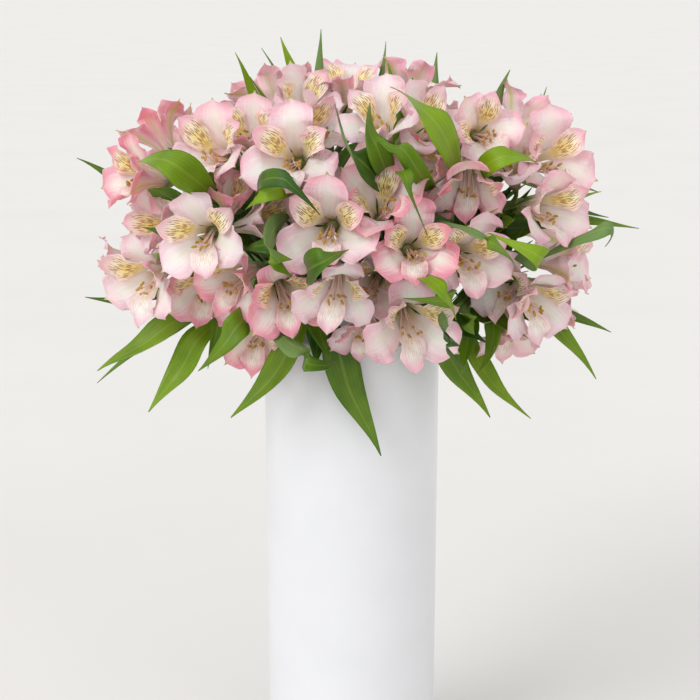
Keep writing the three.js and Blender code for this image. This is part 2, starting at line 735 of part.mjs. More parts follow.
const MATERIALS = {
  vase: new THREE.MeshStandardMaterial({ name: 'vase', color: COLOURS.vase, roughness: 0.25 }),
  water: new THREE.MeshStandardMaterial({ name: 'water', color: COLOURS.water, roughness: 0.05 }),
  stem: new THREE.MeshStandardMaterial({ name: 'stem', color: COLOURS.stem, roughness: 0.6 }),
  bloom: new THREE.MeshStandardMaterial({ name: 'bloom', color: COLOURS.bloom, roughness: 0.7 }),
};

const group = new THREE.Group();

function addNode(name, geometry, material) {
  const mesh = new THREE.Mesh(geometry, material);
  mesh.name = name;
  group.add(mesh);
  return mesh;
}

const vase = solid(vaseGeometry());
settle('vase', 'vase', vase);
addNode('vase', geometryOf(vase), MATERIALS.vase);
addNode('water', geometryOf(waterBody(STEMS.map(stemLine))), MATERIALS.water);

for (const stem of STEMS) {
  const line = stemLine(stem);
  stem.shoot = shootCurve(stem, line);
  stem.tip = new THREE.Vector3(...stem.umbel);
  stem.leaning = stem.shoot.getTangent(1);
  const swelling = new THREE.IcosahedronGeometry(UMBEL_RADIUS, 0).translate(...stem.umbel);
  const pieces = [
    tube(line, STEM_RADIUS, 6, 1),
    tube(stem.shoot, SHOOT_RADIUS, 6, 5),
    swelling,
  ];
  stem.parts = pieces.map((piece) => settle(stem.name, 'green', solid(piece)));
}

for (const stem of STEMS) {
  const placed = [];
  stem.blooms.forEach((row, i) => {
    const joined = row[8] === JOINED;
    const bloom = placeBloom(stem, row, `bloom_${stem.name}_${i + 1}`, joined ? placed.at(-1) : null);
    if (joined && bloom) placed.at(-1).partner = bloom;
    else placed.push(bloom);
  });
  for (const bloom of placed) {
    if (!bloom) continue;
    if (bloom.partner) {
      addNode(bloom.name, geometryOf(bloom.body.add(bloom.partner.body)), MATERIALS.bloom);
    } else {
      const mesh = addNode(bloom.name, bloom.geometry, MATERIALS.bloom);
      mesh.position.copy(bloom.pose.foot);
      mesh.quaternion.copy(bloom.pose.turned);
    }
  }
}

for (const stem of STEMS) {
  stem.leaves.forEach((row, i) => placeLeaf(stem, row, `leaf_${stem.name}_${i + 1}`));
  addNode(`stem_${stem.name}`, geometryOf(fused(stem.parts)), MATERIALS.stem);
}

if (failures.length) throw new Error(`no room for ${failures.join(', ')}`);

export default group;
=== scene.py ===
import functools
import itertools
import math
from collections import namedtuple

import bpy
import numpy as np
from bpy.props import FloatProperty, FloatVectorProperty, IntProperty, PointerProperty
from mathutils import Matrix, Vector


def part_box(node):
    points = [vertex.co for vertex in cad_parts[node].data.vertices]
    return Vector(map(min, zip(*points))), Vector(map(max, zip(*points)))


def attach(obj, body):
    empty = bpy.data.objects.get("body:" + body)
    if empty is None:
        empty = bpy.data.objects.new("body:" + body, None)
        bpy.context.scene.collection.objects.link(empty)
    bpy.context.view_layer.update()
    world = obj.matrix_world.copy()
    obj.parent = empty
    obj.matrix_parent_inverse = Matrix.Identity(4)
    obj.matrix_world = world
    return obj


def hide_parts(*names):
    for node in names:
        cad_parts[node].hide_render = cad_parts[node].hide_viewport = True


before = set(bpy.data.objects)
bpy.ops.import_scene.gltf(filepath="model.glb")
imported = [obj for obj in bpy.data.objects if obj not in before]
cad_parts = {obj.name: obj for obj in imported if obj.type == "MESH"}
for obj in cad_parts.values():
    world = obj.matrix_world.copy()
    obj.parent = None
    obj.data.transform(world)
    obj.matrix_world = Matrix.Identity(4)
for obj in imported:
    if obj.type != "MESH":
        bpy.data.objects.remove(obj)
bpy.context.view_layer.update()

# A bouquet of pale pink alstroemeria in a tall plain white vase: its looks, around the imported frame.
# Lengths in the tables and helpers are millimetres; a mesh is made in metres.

bl_info = {
    "name": "Alstroemeria bouquet",
    "version": (1, 0, 0),
    "blender": (4, 5, 0),
    "location": "View3D > Sidebar > Bouquet",
    "description": "Builds a bouquet of alstroemeria in a tall glazed vase",
    "category": "Object",
}

BODY = "root"
MM = 0.001
SEED = 41
UP = np.array([0.0, 0.0, 1.0])

# ---- camera and light (metres, degrees)

CAMERA_PLACE = (-0.0012, -1.044, 0.604)
CAMERA_PITCH = 14.3  # below level
LENS, SENSOR = 76.0, 36.0  # in mm
LIGHTS = {  # where it shines from, its strength, how wide it looks
    "key": ((-1.6, -1.4, 1.9), 1.45, 34.0),
    "fill": ((0.9, -1.8, 1.2), 0.45, 60.0),
}
LIGHT_AIM = (0, 0, 0.42)
ROOM_LIGHT = 0.94
FLOOR_HALF = 60.0

# ---- the bouquet's construction (mm, degrees)

VASE_FLOOR = 9.0
SEAT_GAP = 0.3
SLANT_RISE = 0.4
STEM_RADIUS = 2.7
SHOOT_RADIUS = 2.3
STALK_RADIUS = 1.15
STEM_TWIST = 65.0
OUTER_RING = (41.0, 46.0)
INNER_RING = (12.0, 18.0)
NODE_HEIGHT = 345.0
SHOOT_START = 0.985  # where the shoot leaves the straight stem, as a share of it
SHOOT_LEAN, STALK_LEAN = 0.55, 0.2  # how much the shoot ends upwards, and a stalk sets out along the shoot
STALK_REACH = 0.36
BLADE = 1.2  # thickness of a leaf's solid
LEAF_UP, LEAF_OUT, BOWED_OUT = 0.8, 0.6, 1.3  # which way a leaf's upper face looks
FACE_DEPTH = 30.0
ROOT = (3.6, 7.0)  # radius and height at which a tepal starts

# Radius from the bloom's axis and height, at each station of a tepal: open, and shut in a bud.
OUTER_LINE = (((8.8, 22.0), (5.2, 22.0)), ((20.0, 35.5), (8.0, 38.0)), ((29.0, 40.0), (5.0, 50.0)))
INNER_LINE = (((15.5, 38.0), (6.5, 38.0)), ((24.0, 45.5), (4.0, 51.0)))
WIDEST_LEAF = (0.58, 0.05)  # place along a leaf, and its fold there as a share of the width
# The six tepals with their directions round the axis. The marked pair stands at the top.
TEPALS = (("marked", 30), ("outer", 90), ("marked", 150), ("outer", 210), ("plain", 270), ("outer", 330))


def trials(*choices):
    return np.array(list(itertools.product(*choices)), float)


# The small changes of place that a bloom or a leaf may have taken to stand clear.
TURNS = (0, 10, -10, 20, -20, 30, -30)
TIP_MOVES = (0, 6, -6, 12, -12, 20, -20, 30, -30)
BLOOM_TRIALS = trials((0, 5, -5, 10, -10, 15, -15, -22, -30), TURNS, TURNS, (0, 20, -20, 40))
TIP_TRIALS = trials(TIP_MOVES, TIP_MOVES)
BLADE_TRIALS = trials((0, 18, -18, 36, -36), (0, 10, 20, 32), (0, 12, -12, 24), (0, 35, -35, 70))
FOUND = 0.25  # how near, in mm, a predicted corner has to lie to the solid's own corner
LOST = 3.0  # a predicted corner this far from every corner of the solid counts as lost

Stem = namedtuple("Stem", "name rim ring umbel blooms leaves")
Bloom = namedtuple("Bloom", "foot axes openness size node tone")
Leaf = namedtuple("Leaf", "line facing roll width tones", defaults=((0, 1),))

# Each stem's name, its place round the vase mouth from +X, its ring, and where its stalks start. Then its
# blooms: x, y, z of the face, turn from the front to the right, tilt up, spin, openness, size.
# A bloom marked JOINED crosses the bloom before it and is one body with it.
# Then its leaves: share of the shoot where it grows, x, y, z of the tip, width, how far its middle stands
# up, and for some how far it stands to the front and to the right.
JOINED = True
STEMS = [
    Stem("left_high", 185, OUTER_RING, (-78, -26, 438), [
        (-89, -89, 494, -25, 25, 0, 1, 1.05), (-68, -64, 502, -20, 45, 0, 0.9, 0.97, JOINED),
        (-95, -116, 443, -12, 5, 10, 1, 1.04), (-144, -61, 474, -55, 15, 0, 0.9, 1),
        (-136, -12, 497, -110, 55, 0, 0.8, 0.97), (-78, -100, 464, 20, 55, 0, 0.5, 0.85),
    ], [
        (0.96, -193, -20, 475, 14, 6), (0.93, -131, -104, 493, 22, 23, 131, 6),
        (0.9, -125, -35, 490, 13, 20), (0.95, -64, -112, 487, 17, 5), (0.88, -118, -112, 468, 16, 4),
        (0.85, -98, -10, 520, 18, 0), (0.9, -19, -142, 467, 12, 54, 132, 27), (0.86, -35, -58, 481, 24, 4),
    ]),
    Stem("left_low", 216, OUTER_RING, (-86, -40, 392), [
        (-138, -74, 406, -30, -10, 0, 1, 1.1), (-141, -66, 442, -55, 5, 20, 0.95, 1.02),
        (-160, -22, 403, -80, -15, 0, 0.9, 0.97), (-102, -82, 393, -15, -20, -10, 1, 1.02),
        (-77, -102, 411, -35, -10, 0, 0.95, 1),
    ], [
        (0.9, -174, -60, 336, 20, 12), (0.8, -178, -42, 322, 9, 14), (0.84, -143, -60, 310, 22, 14),
        (0.87, -103, -105, 354, 18, 43, 86, 17), (0.93, -92, -102, 350, 8, 10),
        (0.96, -188, -10, 386, 11, 5), (0.95, -176, -34, 380, 8, 5), (0.94, -142, -92, 424, 15, 8, 74, -11),
        (0.91, -99, -87, 345, 9, 24, 44, 16), (0.93, -13, -116, 362, 18, 8, 108, 18),
    ]),
    Stem("top_left", 225, INNER_RING, (-30, -26, 458), [
        (-37, -110, 493, -8, 20, 0, 1, 1.06), (-52, -66, 515, -25, 40, 15, 0.95, 1),
        (-30, -40, 528, 30, 50, 0, 0.9, 0.97, JOINED), (-24, -86, 506, 45, 30, 0, 0.9, 0.95),
        (-4, -8, 528, 10, 75, 0, 0.95, 1),
    ], [
        (0.95, -81, -30, 551, 10, 0), (0.93, -67, -20, 537, 10, 0), (0.96, -48, -10, 562, 14, 0),
        (0.91, -26, 0, 567, 11, 0), (0.95, -2, -32, 519, 10, 0), (0.88, -60, -85, 494, 16, 4),
        (0.86, -4, -78, 500, 18, 4), (0.84, -22, 34, 512, 24, 4), (0.9, -86, -8, 508, 20, 4),
        (0.92, -38, -152, 420, 19, 23, 135, -32), (0.95, -64, -128, 471, 14, 43, 112, -11),
        (0.88, 6, -50, 496, 26, 4),
    ]),
    Stem("front_left", 250, OUTER_RING, (-27, -60, 404), [
        (-15, -134, 451, -5, 8, 0, 1, 1.12), (-20, -104, 470, 0, 40, 0, 0.85, 0.97, JOINED),
        (-43, -113, 403, 15, -10, 15, 0.95, 1.02), (-9, -118, 411, 0, -30, -10, 0.95, 1),
        (-66, -65, 363, -12, -35, 0, 0.9, 1), (-61, -100, 448, 60, 15, 0, 0.8, 0.92),
    ], [
        (0.95, 12, -85, 283, 25, 16), (0.88, -81, -80, 309, 22, 12), (0.96, 4, -154, 439, 22, -1, 120, -25),
        (0.92, -12, -88, 355, 20, 8), (0.95, -33, -125, 424, 18, 5), (0.93, -71, -117, 429, 16, 35, 96, 2),
        (0.85, -24, -75, 345, 18, 8), (0.94, -18, -128, 472, 11, 5), (0.9, -46, -112, 455, 16, 5),
        (0.88, 25, -84, 442, 24, 4),
    ]),
    Stem("front_right", 290, OUTER_RING, (25, -60, 408), [
        (38, -114, 386, 12, -10, 0, 1, 1.14), (14, -98, 408, -10, 0, 0, 0.85, 0.95, JOINED),
        (39, -132, 438, 8, 15, 0, 0.95, 1.04), (18, -123, 465, 0, 30, 10, 0.95, 1.02),
        (74, -116, 430, 20, 5, -10, 1, 1.04), (8, -84, 373, -5, -50, 0, 0.85, 0.92),
    ], [
        (0.9, 93, -80, 310, 24, 12), (0.94, 86, -128, 451, 14, 5), (0.93, 63, -145, 404, 12, 47, 117, 9),
        (0.96, 60, -120, 408, 13, 5), (0.95, 38, -132, 407, 12, 9, 82, 51), (0.91, 10, -95, 502, 18, 0),
        (0.87, 30, -110, 412, 18, 5), (0.85, -2, -118, 430, 16, 5), (0.86, 4, -62, 483, 26, 4),
        (0.86, 111, -74, 408, 22, 6), (0.84, 90, -72, 360, 24, 8),
    ]),
    Stem("top_right", 315, INNER_RING, (42, -28, 452), [
        (18, -88, 513, -15, 45, 0, 0.9, 1), (46, -80, 509, 10, 35, 10, 0.95, 1),
        (52, -98, 484, -50, 10, 0, 0.9, 0.97), (74, -106, 474, -25, -10, 0, 0.9, 1),
        (78, -76, 495, 40, 45, 0, 0.9, 0.97, JOINED),
    ], [
        (0.93, 39, -50, 537, 24, 0), (0.95, -8, -103, 517, 22, 8, 134, -16), (0.96, 26, -20, 545, 15, 0),
        (0.91, 18, 2, 557, 9, 0), (0.95, 87, -20, 525, 14, 0), (0.94, 43, -105, 490, 13, 4),
        (0.88, 60, -112, 455, 16, 4), (0.84, 24, 32, 516, 24, 4), (0.9, 92, 4, 512, 20, 4),
        (0.93, 10, -107, 503, 16, 25, 133, -18), (0.94, 51, -142, 457, 10, 51, 123, -28),
        (0.9, 85, -131, 451, 13, 11, 150, -9),
    ]),
    Stem("right_high", 352, OUTER_RING, (80, -16, 432), [
        (130, -72, 486, 30, 15, 0, 1, 1.05), (102, -78, 488, -20, 45, 0, 0.85, 1, JOINED),
        (118, -9, 504, 130, 45, 0, 0.9, 1), (140, 22, 490, 110, 30, 0, 0.9, 0.97),
        (136, -48, 456, 80, 20, 0, 0.85, 0.95),
    ], [
        (0.95, 120, 0, 533, 17, 0), (0.96, 89, -10, 524, 11, 0), (0.93, 134, 8, 530, 10, 0),
        (0.92, 201, -20, 433, 12, 12), (0.95, 179, -20, 442, 12, 10), (0.96, 176, -10, 453, 10, 10),
        (0.94, 152, -40, 461, 10, 6), (0.9, 117, -105, 466, 15, 5), (0.86, 98, -105, 446, 18, 5),
        (0.93, 20, -124, 495, 13, 57, 127, -20), (0.95, 37, -91, 539, 24, 37, 138, 6),
        (0.96, 116, -100, 466, 15, 40, 126, -1), (0.9, 89, -125, 434, 17, -10, 116, 60),
        (0.88, 23, -52, 475, 24, 4), (0.84, 140, -58, 449, 22, 6),
    ]),
    Stem("right_low", 324, OUTER_RING, (86, -40, 392), [
        (127, -94, 456, 35, 0, 0, 0.95, 1.02), (142, -70, 418, 65, 5, 0, 1, 1.02),
        (122, -84, 393, 30, -20, 0, 1, 1.04), (97, -93, 402, -30, 0, 0, 0.85, 0.95, JOINED),
        (147, -38, 391, 85, -10, 0, 0.9, 0.97), (108, -50, 363, 15, -60, 0, 0.85, 0.97),
    ], [
        (0.85, 124, -60, 303, 18, 12), (0.9, 167, -60, 331, 16, 12), (0.92, 143, -70, 366, 9, 8),
        (0.95, 89, -90, 381, 16, 8, 54, -32), (0.93, 74, -75, 338, 14, 8), (0.96, 89, -100, 381, 20, 6),
        (0.94, 112, -95, 380, 10, 6), (0.96, 181, -40, 363, 11, 8), (0.95, 154, -95, 439, 11, 47, 95, 36),
        (0.9, 85, -61, 339, 15, 12, 30, 26), (0.93, 100, -98, 453, 24, 4, 16),
        (0.94, 73, -124, 357, 15, 21, 89, -32),
    ]),
    Stem("back_left", 130, OUTER_RING, (-50, 42, 428), [
        (-122, 34, 478, -120, 30, 0, 1, 1.1), (-56, 14, 522, -120, 65, 0, 1, 1.08),
        (-66, 52, 506, -160, 50, 0, 1, 1.08, JOINED), (-138, 50, 422, -120, 0, 0, 1, 1.1),
        (-80, 92, 458, -155, 15, 0, 1, 1.12), (-42, 100, 412, -170, -10, 0, 1, 1.1),
        (-86, 86, 406, -145, -15, 0, 1, 1.08, JOINED),
    ], [
        (0.96, -182, 45, 448, 20, 10), (0.9, -150, 80, 360, 24, 12), (0.87, -90, 108, 345, 24, 10),
        (0.95, -66, 45, 552, 15, 0), (0.93, -20, 90, 520, 20, 0), (0.96, -48, 130, 470, 20, 5),
        (0.94, -116, 95, 492, 20, 5), (0.84, -28, 95, 300, 26, 12), (0.91, -108, 100, 430, 20, 6),
    ]),
    Stem("back_right", 48, OUTER_RING, (50, 42, 428), [
        (100, 46, 482, 125, 35, 0, 1, 1.1), (44, 10, 526, 120, 70, 0, 1, 1.08),
        (44, 52, 508, 165, 50, 0, 1, 1.08, JOINED), (142, 38, 424, 105, 0, 0, 1, 1.1),
        (84, 90, 446, 145, 10, 0, 1, 1.12), (14, 100, 448, 178, 10, 0, 1, 1.1),
        (72, 88, 398, 150, -15, 0, 1, 1.08),
    ], [
        (0.96, 186, 40, 440, 20, 10), (0.9, 150, 82, 356, 24, 12), (0.87, 84, 112, 342, 24, 10),
        (0.95, 62, 52, 548, 15, 0), (0.93, 68, 96, 506, 20, 0), (0.96, 50, 132, 470, 20, 5),
        (0.94, 130, 82, 476, 20, 5), (0.84, 36, 95, 292, 26, 12), (0.91, 112, 96, 424, 20, 6),
    ]),
]

# The blooms of a stem that are a deeper pink than the rest.
DEEP_PINK = {
    "left_high": (4, 5, 6), "left_low": (4, 5), "front_left": (3, 5), "front_right": (3, 4),
    "top_right": (3, 4),
}


# ---- sizes and colours that a user would change

def linear(colour):
    """An sRGB hex colour as linear red, green and blue."""
    channels = [int(colour[i:i + 2], 16) / 255 for i in (1, 3, 5)]
    return tuple(c / 12.92 if c <= 0.04045 else ((c + 0.055) / 1.055) ** 2.4 for c in channels)


def colour_choice(name, description, value):
    return FloatVectorProperty(
        name=name, description=description, subtype="COLOR", size=3, min=0, max=1, default=linear(value))


def length_choice(name, description, value):
    return FloatProperty(name=name, description=description, unit="LENGTH", precision=4, default=value)


VASE_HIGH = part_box("vase")[1]


class BouquetVase(bpy.types.PropertyGroup):
    height: length_choice("Height", "Height of the vase", VASE_HIGH.z)
    radius: length_choice("Radius", "Outer radius of the vase", VASE_HIGH.x)
    wall: length_choice("Wall", "Thickness of its wall", 0.005)
    sides: IntProperty(name="Sides", description="Facets round the vase", default=160, min=24)
    glaze: colour_choice("Glaze", "Colour of the white glaze", "#DCDDE0")


class BouquetBlooms(bpy.types.PropertyGroup):
    outer_width: length_choice("Outer tepal", "Greatest width of an outer tepal", 0.0268)
    inner_width: length_choice("Inner tepal", "Greatest width of an inner tepal", 0.0168)
    thickness: length_choice("Thickness", "Thickness of a tepal along its middle", 0.00045)
    ruffle: length_choice("Ruffle", "Height of the waves along a tepal's edge", 0.0029)
    pale: colour_choice("Pale", "Body of a tepal", "#FEF3EC")
    pink: colour_choice("Pink", "Margin of a tepal", "#F5A8BC")
    deep: colour_choice("Deep pink", "Margin of a tepal on a deeper bloom", "#F08498")
    blotch: colour_choice("Blotch", "Yellow flare of the marked tepals", "#FCE07A")
    dash: colour_choice("Dashes", "Maroon strokes on the marked tepals", "#7A1424")
    keel: colour_choice("Keel", "Green rib and tip of an outer tepal", "#A9B65A")


class BouquetGreens(bpy.types.PropertyGroup):
    thickness: length_choice("Leaf thickness", "Thickness of a leaf", 0.0004)
    fresh: colour_choice("Fresh", "Upper face of a young leaf", "#77950A")
    # the grown green is also the dark end that the small inner leaves keep to, as painted shade
    grown: colour_choice("Grown", "Upper face of a grown leaf", "#2C5008")
    under: colour_choice("Underside", "Waxy underside of a leaf", "#668246")
    stem: colour_choice("Stem", "Stems and stalks", "#6F8F3A")


# ---- numbers and curves

def unit(vectors):
    return vectors / np.linalg.norm(vectors, axis=-1, keepdims=True)


def mix(a, b, share):
    return a + (b - a) * share


def bezier(points, t):
    """Points of a quadratic or cubic Bezier curve at the places t."""
    points = [np.asarray(p, float)[None, :] for p in points]
    t = np.atleast_1d(t)[:, None]
    while len(points) > 1:
        points = [mix(a, b, t) for a, b in zip(points, points[1:])]
    return points[0]


def bezier_tangents(points, t):
    points = [np.asarray(p, float) for p in points]
    return unit(bezier([b - a for a, b in zip(points, points[1:])], t))


def spline(stations, places):
    """A smooth curve through stations, each a row of its place and its values, read at places."""
    stations = np.asarray(stations, float)
    at, values = stations[:, 0], stations[:, 1:]
    slopes = np.gradient(values, at, axis=0)
    i = np.clip(np.searchsorted(at, places, side="right") - 1, 0, len(at) - 2)
    step = (at[i + 1] - at[i])[:, None]
    t = (np.asarray(places) - at[i])[:, None] / step
    return (
        (2 * t**3 - 3 * t**2 + 1) * values[i] + (t**3 - 2 * t**2 + t) * step * slopes[i]
        + (3 * t**2 - 2 * t**3) * values[i + 1] + (t**3 - t**2) * step * slopes[i + 1]
    )


def ease(low, high, value):
    t = np.clip((value - low) / (high - low), 0, 1)
    return t * t * (3 - 2 * t)


def bump_at(value, width):
    """A smooth rise to 1 where the value is 0, about the width to each side."""
    return np.exp(-((value / width) ** 2))


def turned_about(vectors, axes, angle):
    """Vectors turned about unit axes by an angle in radians (Rodrigues)."""
    cos, sin = np.cos(angle), np.sin(angle)
    along = np.sum(vectors * axes, axis=-1, keepdims=True)
    return vectors * cos + np.cross(axes, vectors) * sin + axes * along * (1 - cos)


# ---- meshes and objects

class Sheets:
    """Collects thin closed sheets and turned forms, and makes one mesh of them, with a UV map."""

    def __init__(self):
        self.points, self.faces, self.uv, self.attributes, self.count = [], [], [], {}, 0

    def add(self, points, faces, uv, **attributes):
        self.points.append(points)
        self.faces += [[corner + self.count for corner in face] for face in faces]
        self.uv.append(uv)
        self.count += len(points)
        for name, values in attributes.items():
            self.attributes.setdefault(name, []).append(np.broadcast_to(values, len(points)))

    def sheet(self, middle, normals, thickness, u, v, **attributes):
        """A thin closed sheet: its middle surface in rows along and columns across, and its thickness."""
        rows, columns = middle.shape[:2]
        half = normals * thickness[..., None] / 2
        points = np.concatenate([(middle + half).reshape(-1, 3), (middle - half).reshape(-1, 3)])
        index = np.arange(rows * columns).reshape(rows, columns)
        upper = np.stack([index[:-1, :-1], index[1:, :-1], index[1:, 1:], index[:-1, 1:]], -1).reshape(-1, 4)
        lower = upper[:, ::-1] + index.size
        edge = np.concatenate([index[:, 0], index[-1, 1:], index[-2::-1, -1], index[0, -2:0:-1]])
        ahead = np.roll(edge, -1)
        rim = np.stack([ahead, edge, edge + index.size, ahead + index.size], -1)
        faces = np.concatenate([upper, lower, rim]).tolist()
        uv = np.tile(np.stack(np.broadcast_arrays(u, v), -1).reshape(-1, 2), (2, 1))
        self.add(points, faces, uv, inside=np.repeat([1.0, 0.0], index.size), **attributes)

    def turned(self, profile, origin, axes, sides, ribs=0, rib_height=0.0):
        """A form turned about axes[2]: rows of height and radius, and one face to close each end."""
        angle = np.linspace(0, 2 * np.pi, sides, endpoint=False)
        height, radius = np.asarray(profile, float).T
        swell = 1 + rib_height * np.cos(ribs * angle)
        ring = np.stack([np.cos(angle), np.sin(angle)], -1)
        local = np.concatenate([
            radius[:, None, None] * swell[None, :, None] * ring[None],
            np.broadcast_to(height[:, None, None], (len(height), sides, 1)),
        ], -1)
        points = (origin + local @ np.asarray(axes).T).reshape(-1, 3)
        index = np.arange(len(points)).reshape(len(height), sides)
        ahead = np.roll(index, -1, axis=1)
        walls = np.stack([index[:-1], ahead[:-1], ahead[1:], index[1:]], -1).reshape(-1, 4)
        faces = walls.tolist() + [index[0, ::-1].tolist(), index[-1].tolist()]
        uv = np.stack(np.broadcast_arrays(angle[None] / (2 * np.pi), height[:, None] / height[-1]), -1)
        self.add(points, faces, uv.reshape(-1, 2))

    def object(self, name, material):
        mesh = bpy.data.meshes.new(name)
        mesh.from_pydata((np.concatenate(self.points) * MM).tolist(), [], self.faces)
        corners = np.empty(len(mesh.loops), np.int32)
        mesh.loops.foreach_get("vertex_index", corners)
        layer = mesh.uv_layers.new(name="surface")
        layer.data.foreach_set("uv", np.concatenate(self.uv)[corners].astype(np.float32).ravel())
        for key, values in self.attributes.items():
            attribute = mesh.attributes.new(key, "FLOAT", "POINT")
            attribute.data.foreach_set("value", np.concatenate(values).astype(np.float32))
        mesh.shade_smooth()
        mesh.materials.append(material)
        return linked(name, mesh)


def linked(name, data):
    item = bpy.data.objects.new(name, data)
    bpy.context.scene.collection.objects.link(item)
    return item


def finished(piece, slot, *nodes):
    """Hands a finished piece to the frame: what it rides on and the nodes that it stands for. The slot is not
    used.
    """
    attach(piece, BODY)
    if nodes:
        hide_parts(*nodes)


# ---- node trees

def add_node(tree, kind, inputs=None, out=0, **settings):
    """Adds one node and returns one of its outputs. A socket as an input's value makes a link, and anything
    else is its constant."""
    node = tree.nodes.new(kind)
    for name, value in settings.items():
        setattr(node, name, value)
    for key, value in (inputs or {}).items():
        socket = node.inputs[key]
        if isinstance(value, bpy.types.NodeSocket):
            tree.links.new(value, socket)
        else:
            socket.default_value = (*value, 1.0) if socket.type == "RGBA" else value
    return node.outputs[out] if node.outputs else None


def new_tree(name, **inputs):
    """A Geometry Nodes tree, and the outputs that give its geometry and its other inputs."""
    tree = bpy.data.node_groups.new(name, "GeometryNodeTree")
    tree.interface.new_socket(name="Geometry", in_out="INPUT", socket_type="NodeSocketGeometry")
    tree.interface.new_socket(name="Geometry", in_out="OUTPUT", socket_type="NodeSocketGeometry")
    for label, kind in inputs.items():
        tree.interface.new_socket(name=label, in_out="INPUT", socket_type="NodeSocket" + kind)
    return tree, add_node(tree, "NodeGroupInput").node.outputs


def end_tree(tree, geometry, material):
    real = add_node(tree, "GeometryNodeRealizeInstances", {0: geometry})
    smooth = add_node(tree, "GeometryNodeSetShadeSmooth", {0: real})
    coloured = add_node(tree, "GeometryNodeSetMaterial", {"Geometry": smooth, "Material": material})
    add_node(tree, "NodeGroupOutput", {0: coloured})
    return tree


def bar_tree():
    """Round bars along curves, as thick as each curve point's radius."""
    tree, given = new_tree("Round bars", Sides="Int", Material="Material")
    ring = add_node(tree, "GeometryNodeCurvePrimitiveCircle", {"Resolution": given["Sides"], "Radius": 1.0})
    bars = add_node(tree, "GeometryNodeCurveToMesh", {
        "Curve": given["Geometry"], "Profile Curve": ring, "Fill Caps": True,
        "Scale": add_node(tree, "GeometryNodeInputRadius"),
    })
    return end_tree(tree, bars, given["Material"])


def anther_tree():
    """One oval anther on the end of each curve, lying along it."""
    tree, given = new_tree("Anthers", Length="Float", Width="Float", Seed="Int", Material="Material")
    oval = add_node(tree, "GeometryNodeMeshUVSphere", {"Segments": 8, "Rings": 6, "Radius": 0.5})
    size = add_node(tree, "ShaderNodeCombineXYZ", {0: given["Width"], 1: given["Width"], 2: given["Length"]})
    shaped = add_node(tree, "GeometryNodeTransform", {"Geometry": oval, "Scale": size})
    ends = add_node(tree, "GeometryNodeCurveEndpointSelection", {"Start Size": 0, "End Size": 1})
    stray = add_node(tree, "FunctionNodeRandomValue", {
        0: (-0.9, -0.9, -0.9), 1: (0.9, 0.9, 0.9), "Seed": given["Seed"],
    }, data_type="FLOAT_VECTOR")
    tangent = add_node(tree, "GeometryNodeInputTangent")
    aim = add_node(tree, "ShaderNodeVectorMath", {0: tangent, 1: stray}, operation="ADD")
    facing = add_node(tree, "FunctionNodeAlignRotationToVector", {"Vector": aim}, axis="Z")
    placed = add_node(tree, "GeometryNodeInstanceOnPoints", {
        "Points": given["Geometry"], "Selection": ends, "Instance": shaped, "Rotation": facing,
    })
    return end_tree(tree, placed, given["Material"])


def grown(name, tree, curves, **values):
    """The mesh that a Geometry Nodes tree makes of curves, each a list of points (mm) and radii (mm)."""
    data = bpy.data.curves.new(name, "CURVE")
    data.dimensions = "3D"
    for points, radii in curves:
        line = data.splines.new("POLY")
        line.points.add(len(points) - 1)
        places = np.column_stack([np.asarray(points) * MM, np.ones(len(points))])
        line.points.foreach_set("co", places.ravel())
        line.points.foreach_set("radius", np.broadcast_to(np.asarray(radii) * MM, len(points)).ravel())
    source = linked(name + "_line", data)
    modifier = source.modifiers.new(tree.name, "NODES")
    modifier.node_group = tree
    for item in tree.interface.items_tree:
        if item.in_out == "INPUT" and item.name in values:
            modifier[item.identifier] = values[item.name]
    graph = bpy.context.evaluated_depsgraph_get()
    mesh = bpy.data.meshes.new_from_object(source.evaluated_get(graph), depsgraph=graph)
    mesh.name = name
    source.modifiers.remove(modifier)
    bpy.data.objects.remove(source)
    return linked(name, mesh)


# ---- where the solids stand

def corners_of(node):
    """The corners of a solid in millimetres."""
    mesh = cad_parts[node].data
    places = np.empty(len(mesh.vertices) * 3)
    mesh.vertices.foreach_get("co", places)
    return np.unique(np.round(places.reshape(-1, 3) / MM, 3), axis=0)


def distances(points, corners):
    """How far each point, in an array of any shape, lies from the nearest corner."""
    flat = points.reshape(-1, 3)
    square = (flat**2).sum(1)[:, None] + (corners**2).sum(1)[None] - 2 * flat @ corners.T
    return np.sqrt(np.clip(square.min(1), 0, None)).reshape(points.shape[:-1])


def on_ring(radius, degrees, z):
    return np.array([radius * math.cos(math.radians(degrees)), radius * math.sin(math.radians(degrees)), z])


def stem_ends(stem):
    foot_radius, rim_radius = stem.ring
    foot = on_ring(foot_radius, stem.rim - STEM_TWIST, VASE_FLOOR + SEAT_GAP + SLANT_RISE)
    return foot, on_ring(rim_radius, stem.rim, NODE_HEIGHT)


def shoot_line(stem):
    """The four points of the curve from the top of the straight stem to the umbel."""
    foot, top = stem_ends(stem)
    umbel = np.array(stem.umbel, float)
    start = mix(foot, top, SHOOT_START)
    reach = np.linalg.norm(umbel - start) / 3
    leaning = unit(mix(unit(umbel * (1, 1, 0)), UP, SHOOT_LEAN))
    return start, start + unit(top - foot) * reach, umbel - leaning * reach, umbel


def stalk_line(stem, bloom):
    """The four points of the curve from the umbel to a bloom's foot."""
    shoot = shoot_line(stem)
    umbel, facing = shoot[-1], bloom.axes[:, 2]
    end = bloom.foot - facing * SEAT_GAP
    reach = np.linalg.norm(umbel - end) * STALK_REACH
    setting_out = unit(mix(unit(end - umbel), bezier_tangents(shoot, 1)[0], STALK_LEAN))
    return umbel, umbel + setting_out * reach, end - facing * reach, end


def facing_of(turn, tilt):
    turn, tilt = np.radians(turn), np.radians(tilt)
    return np.stack([np.sin(turn) * np.cos(tilt), -np.cos(turn) * np.cos(tilt), np.sin(tilt)], -1)


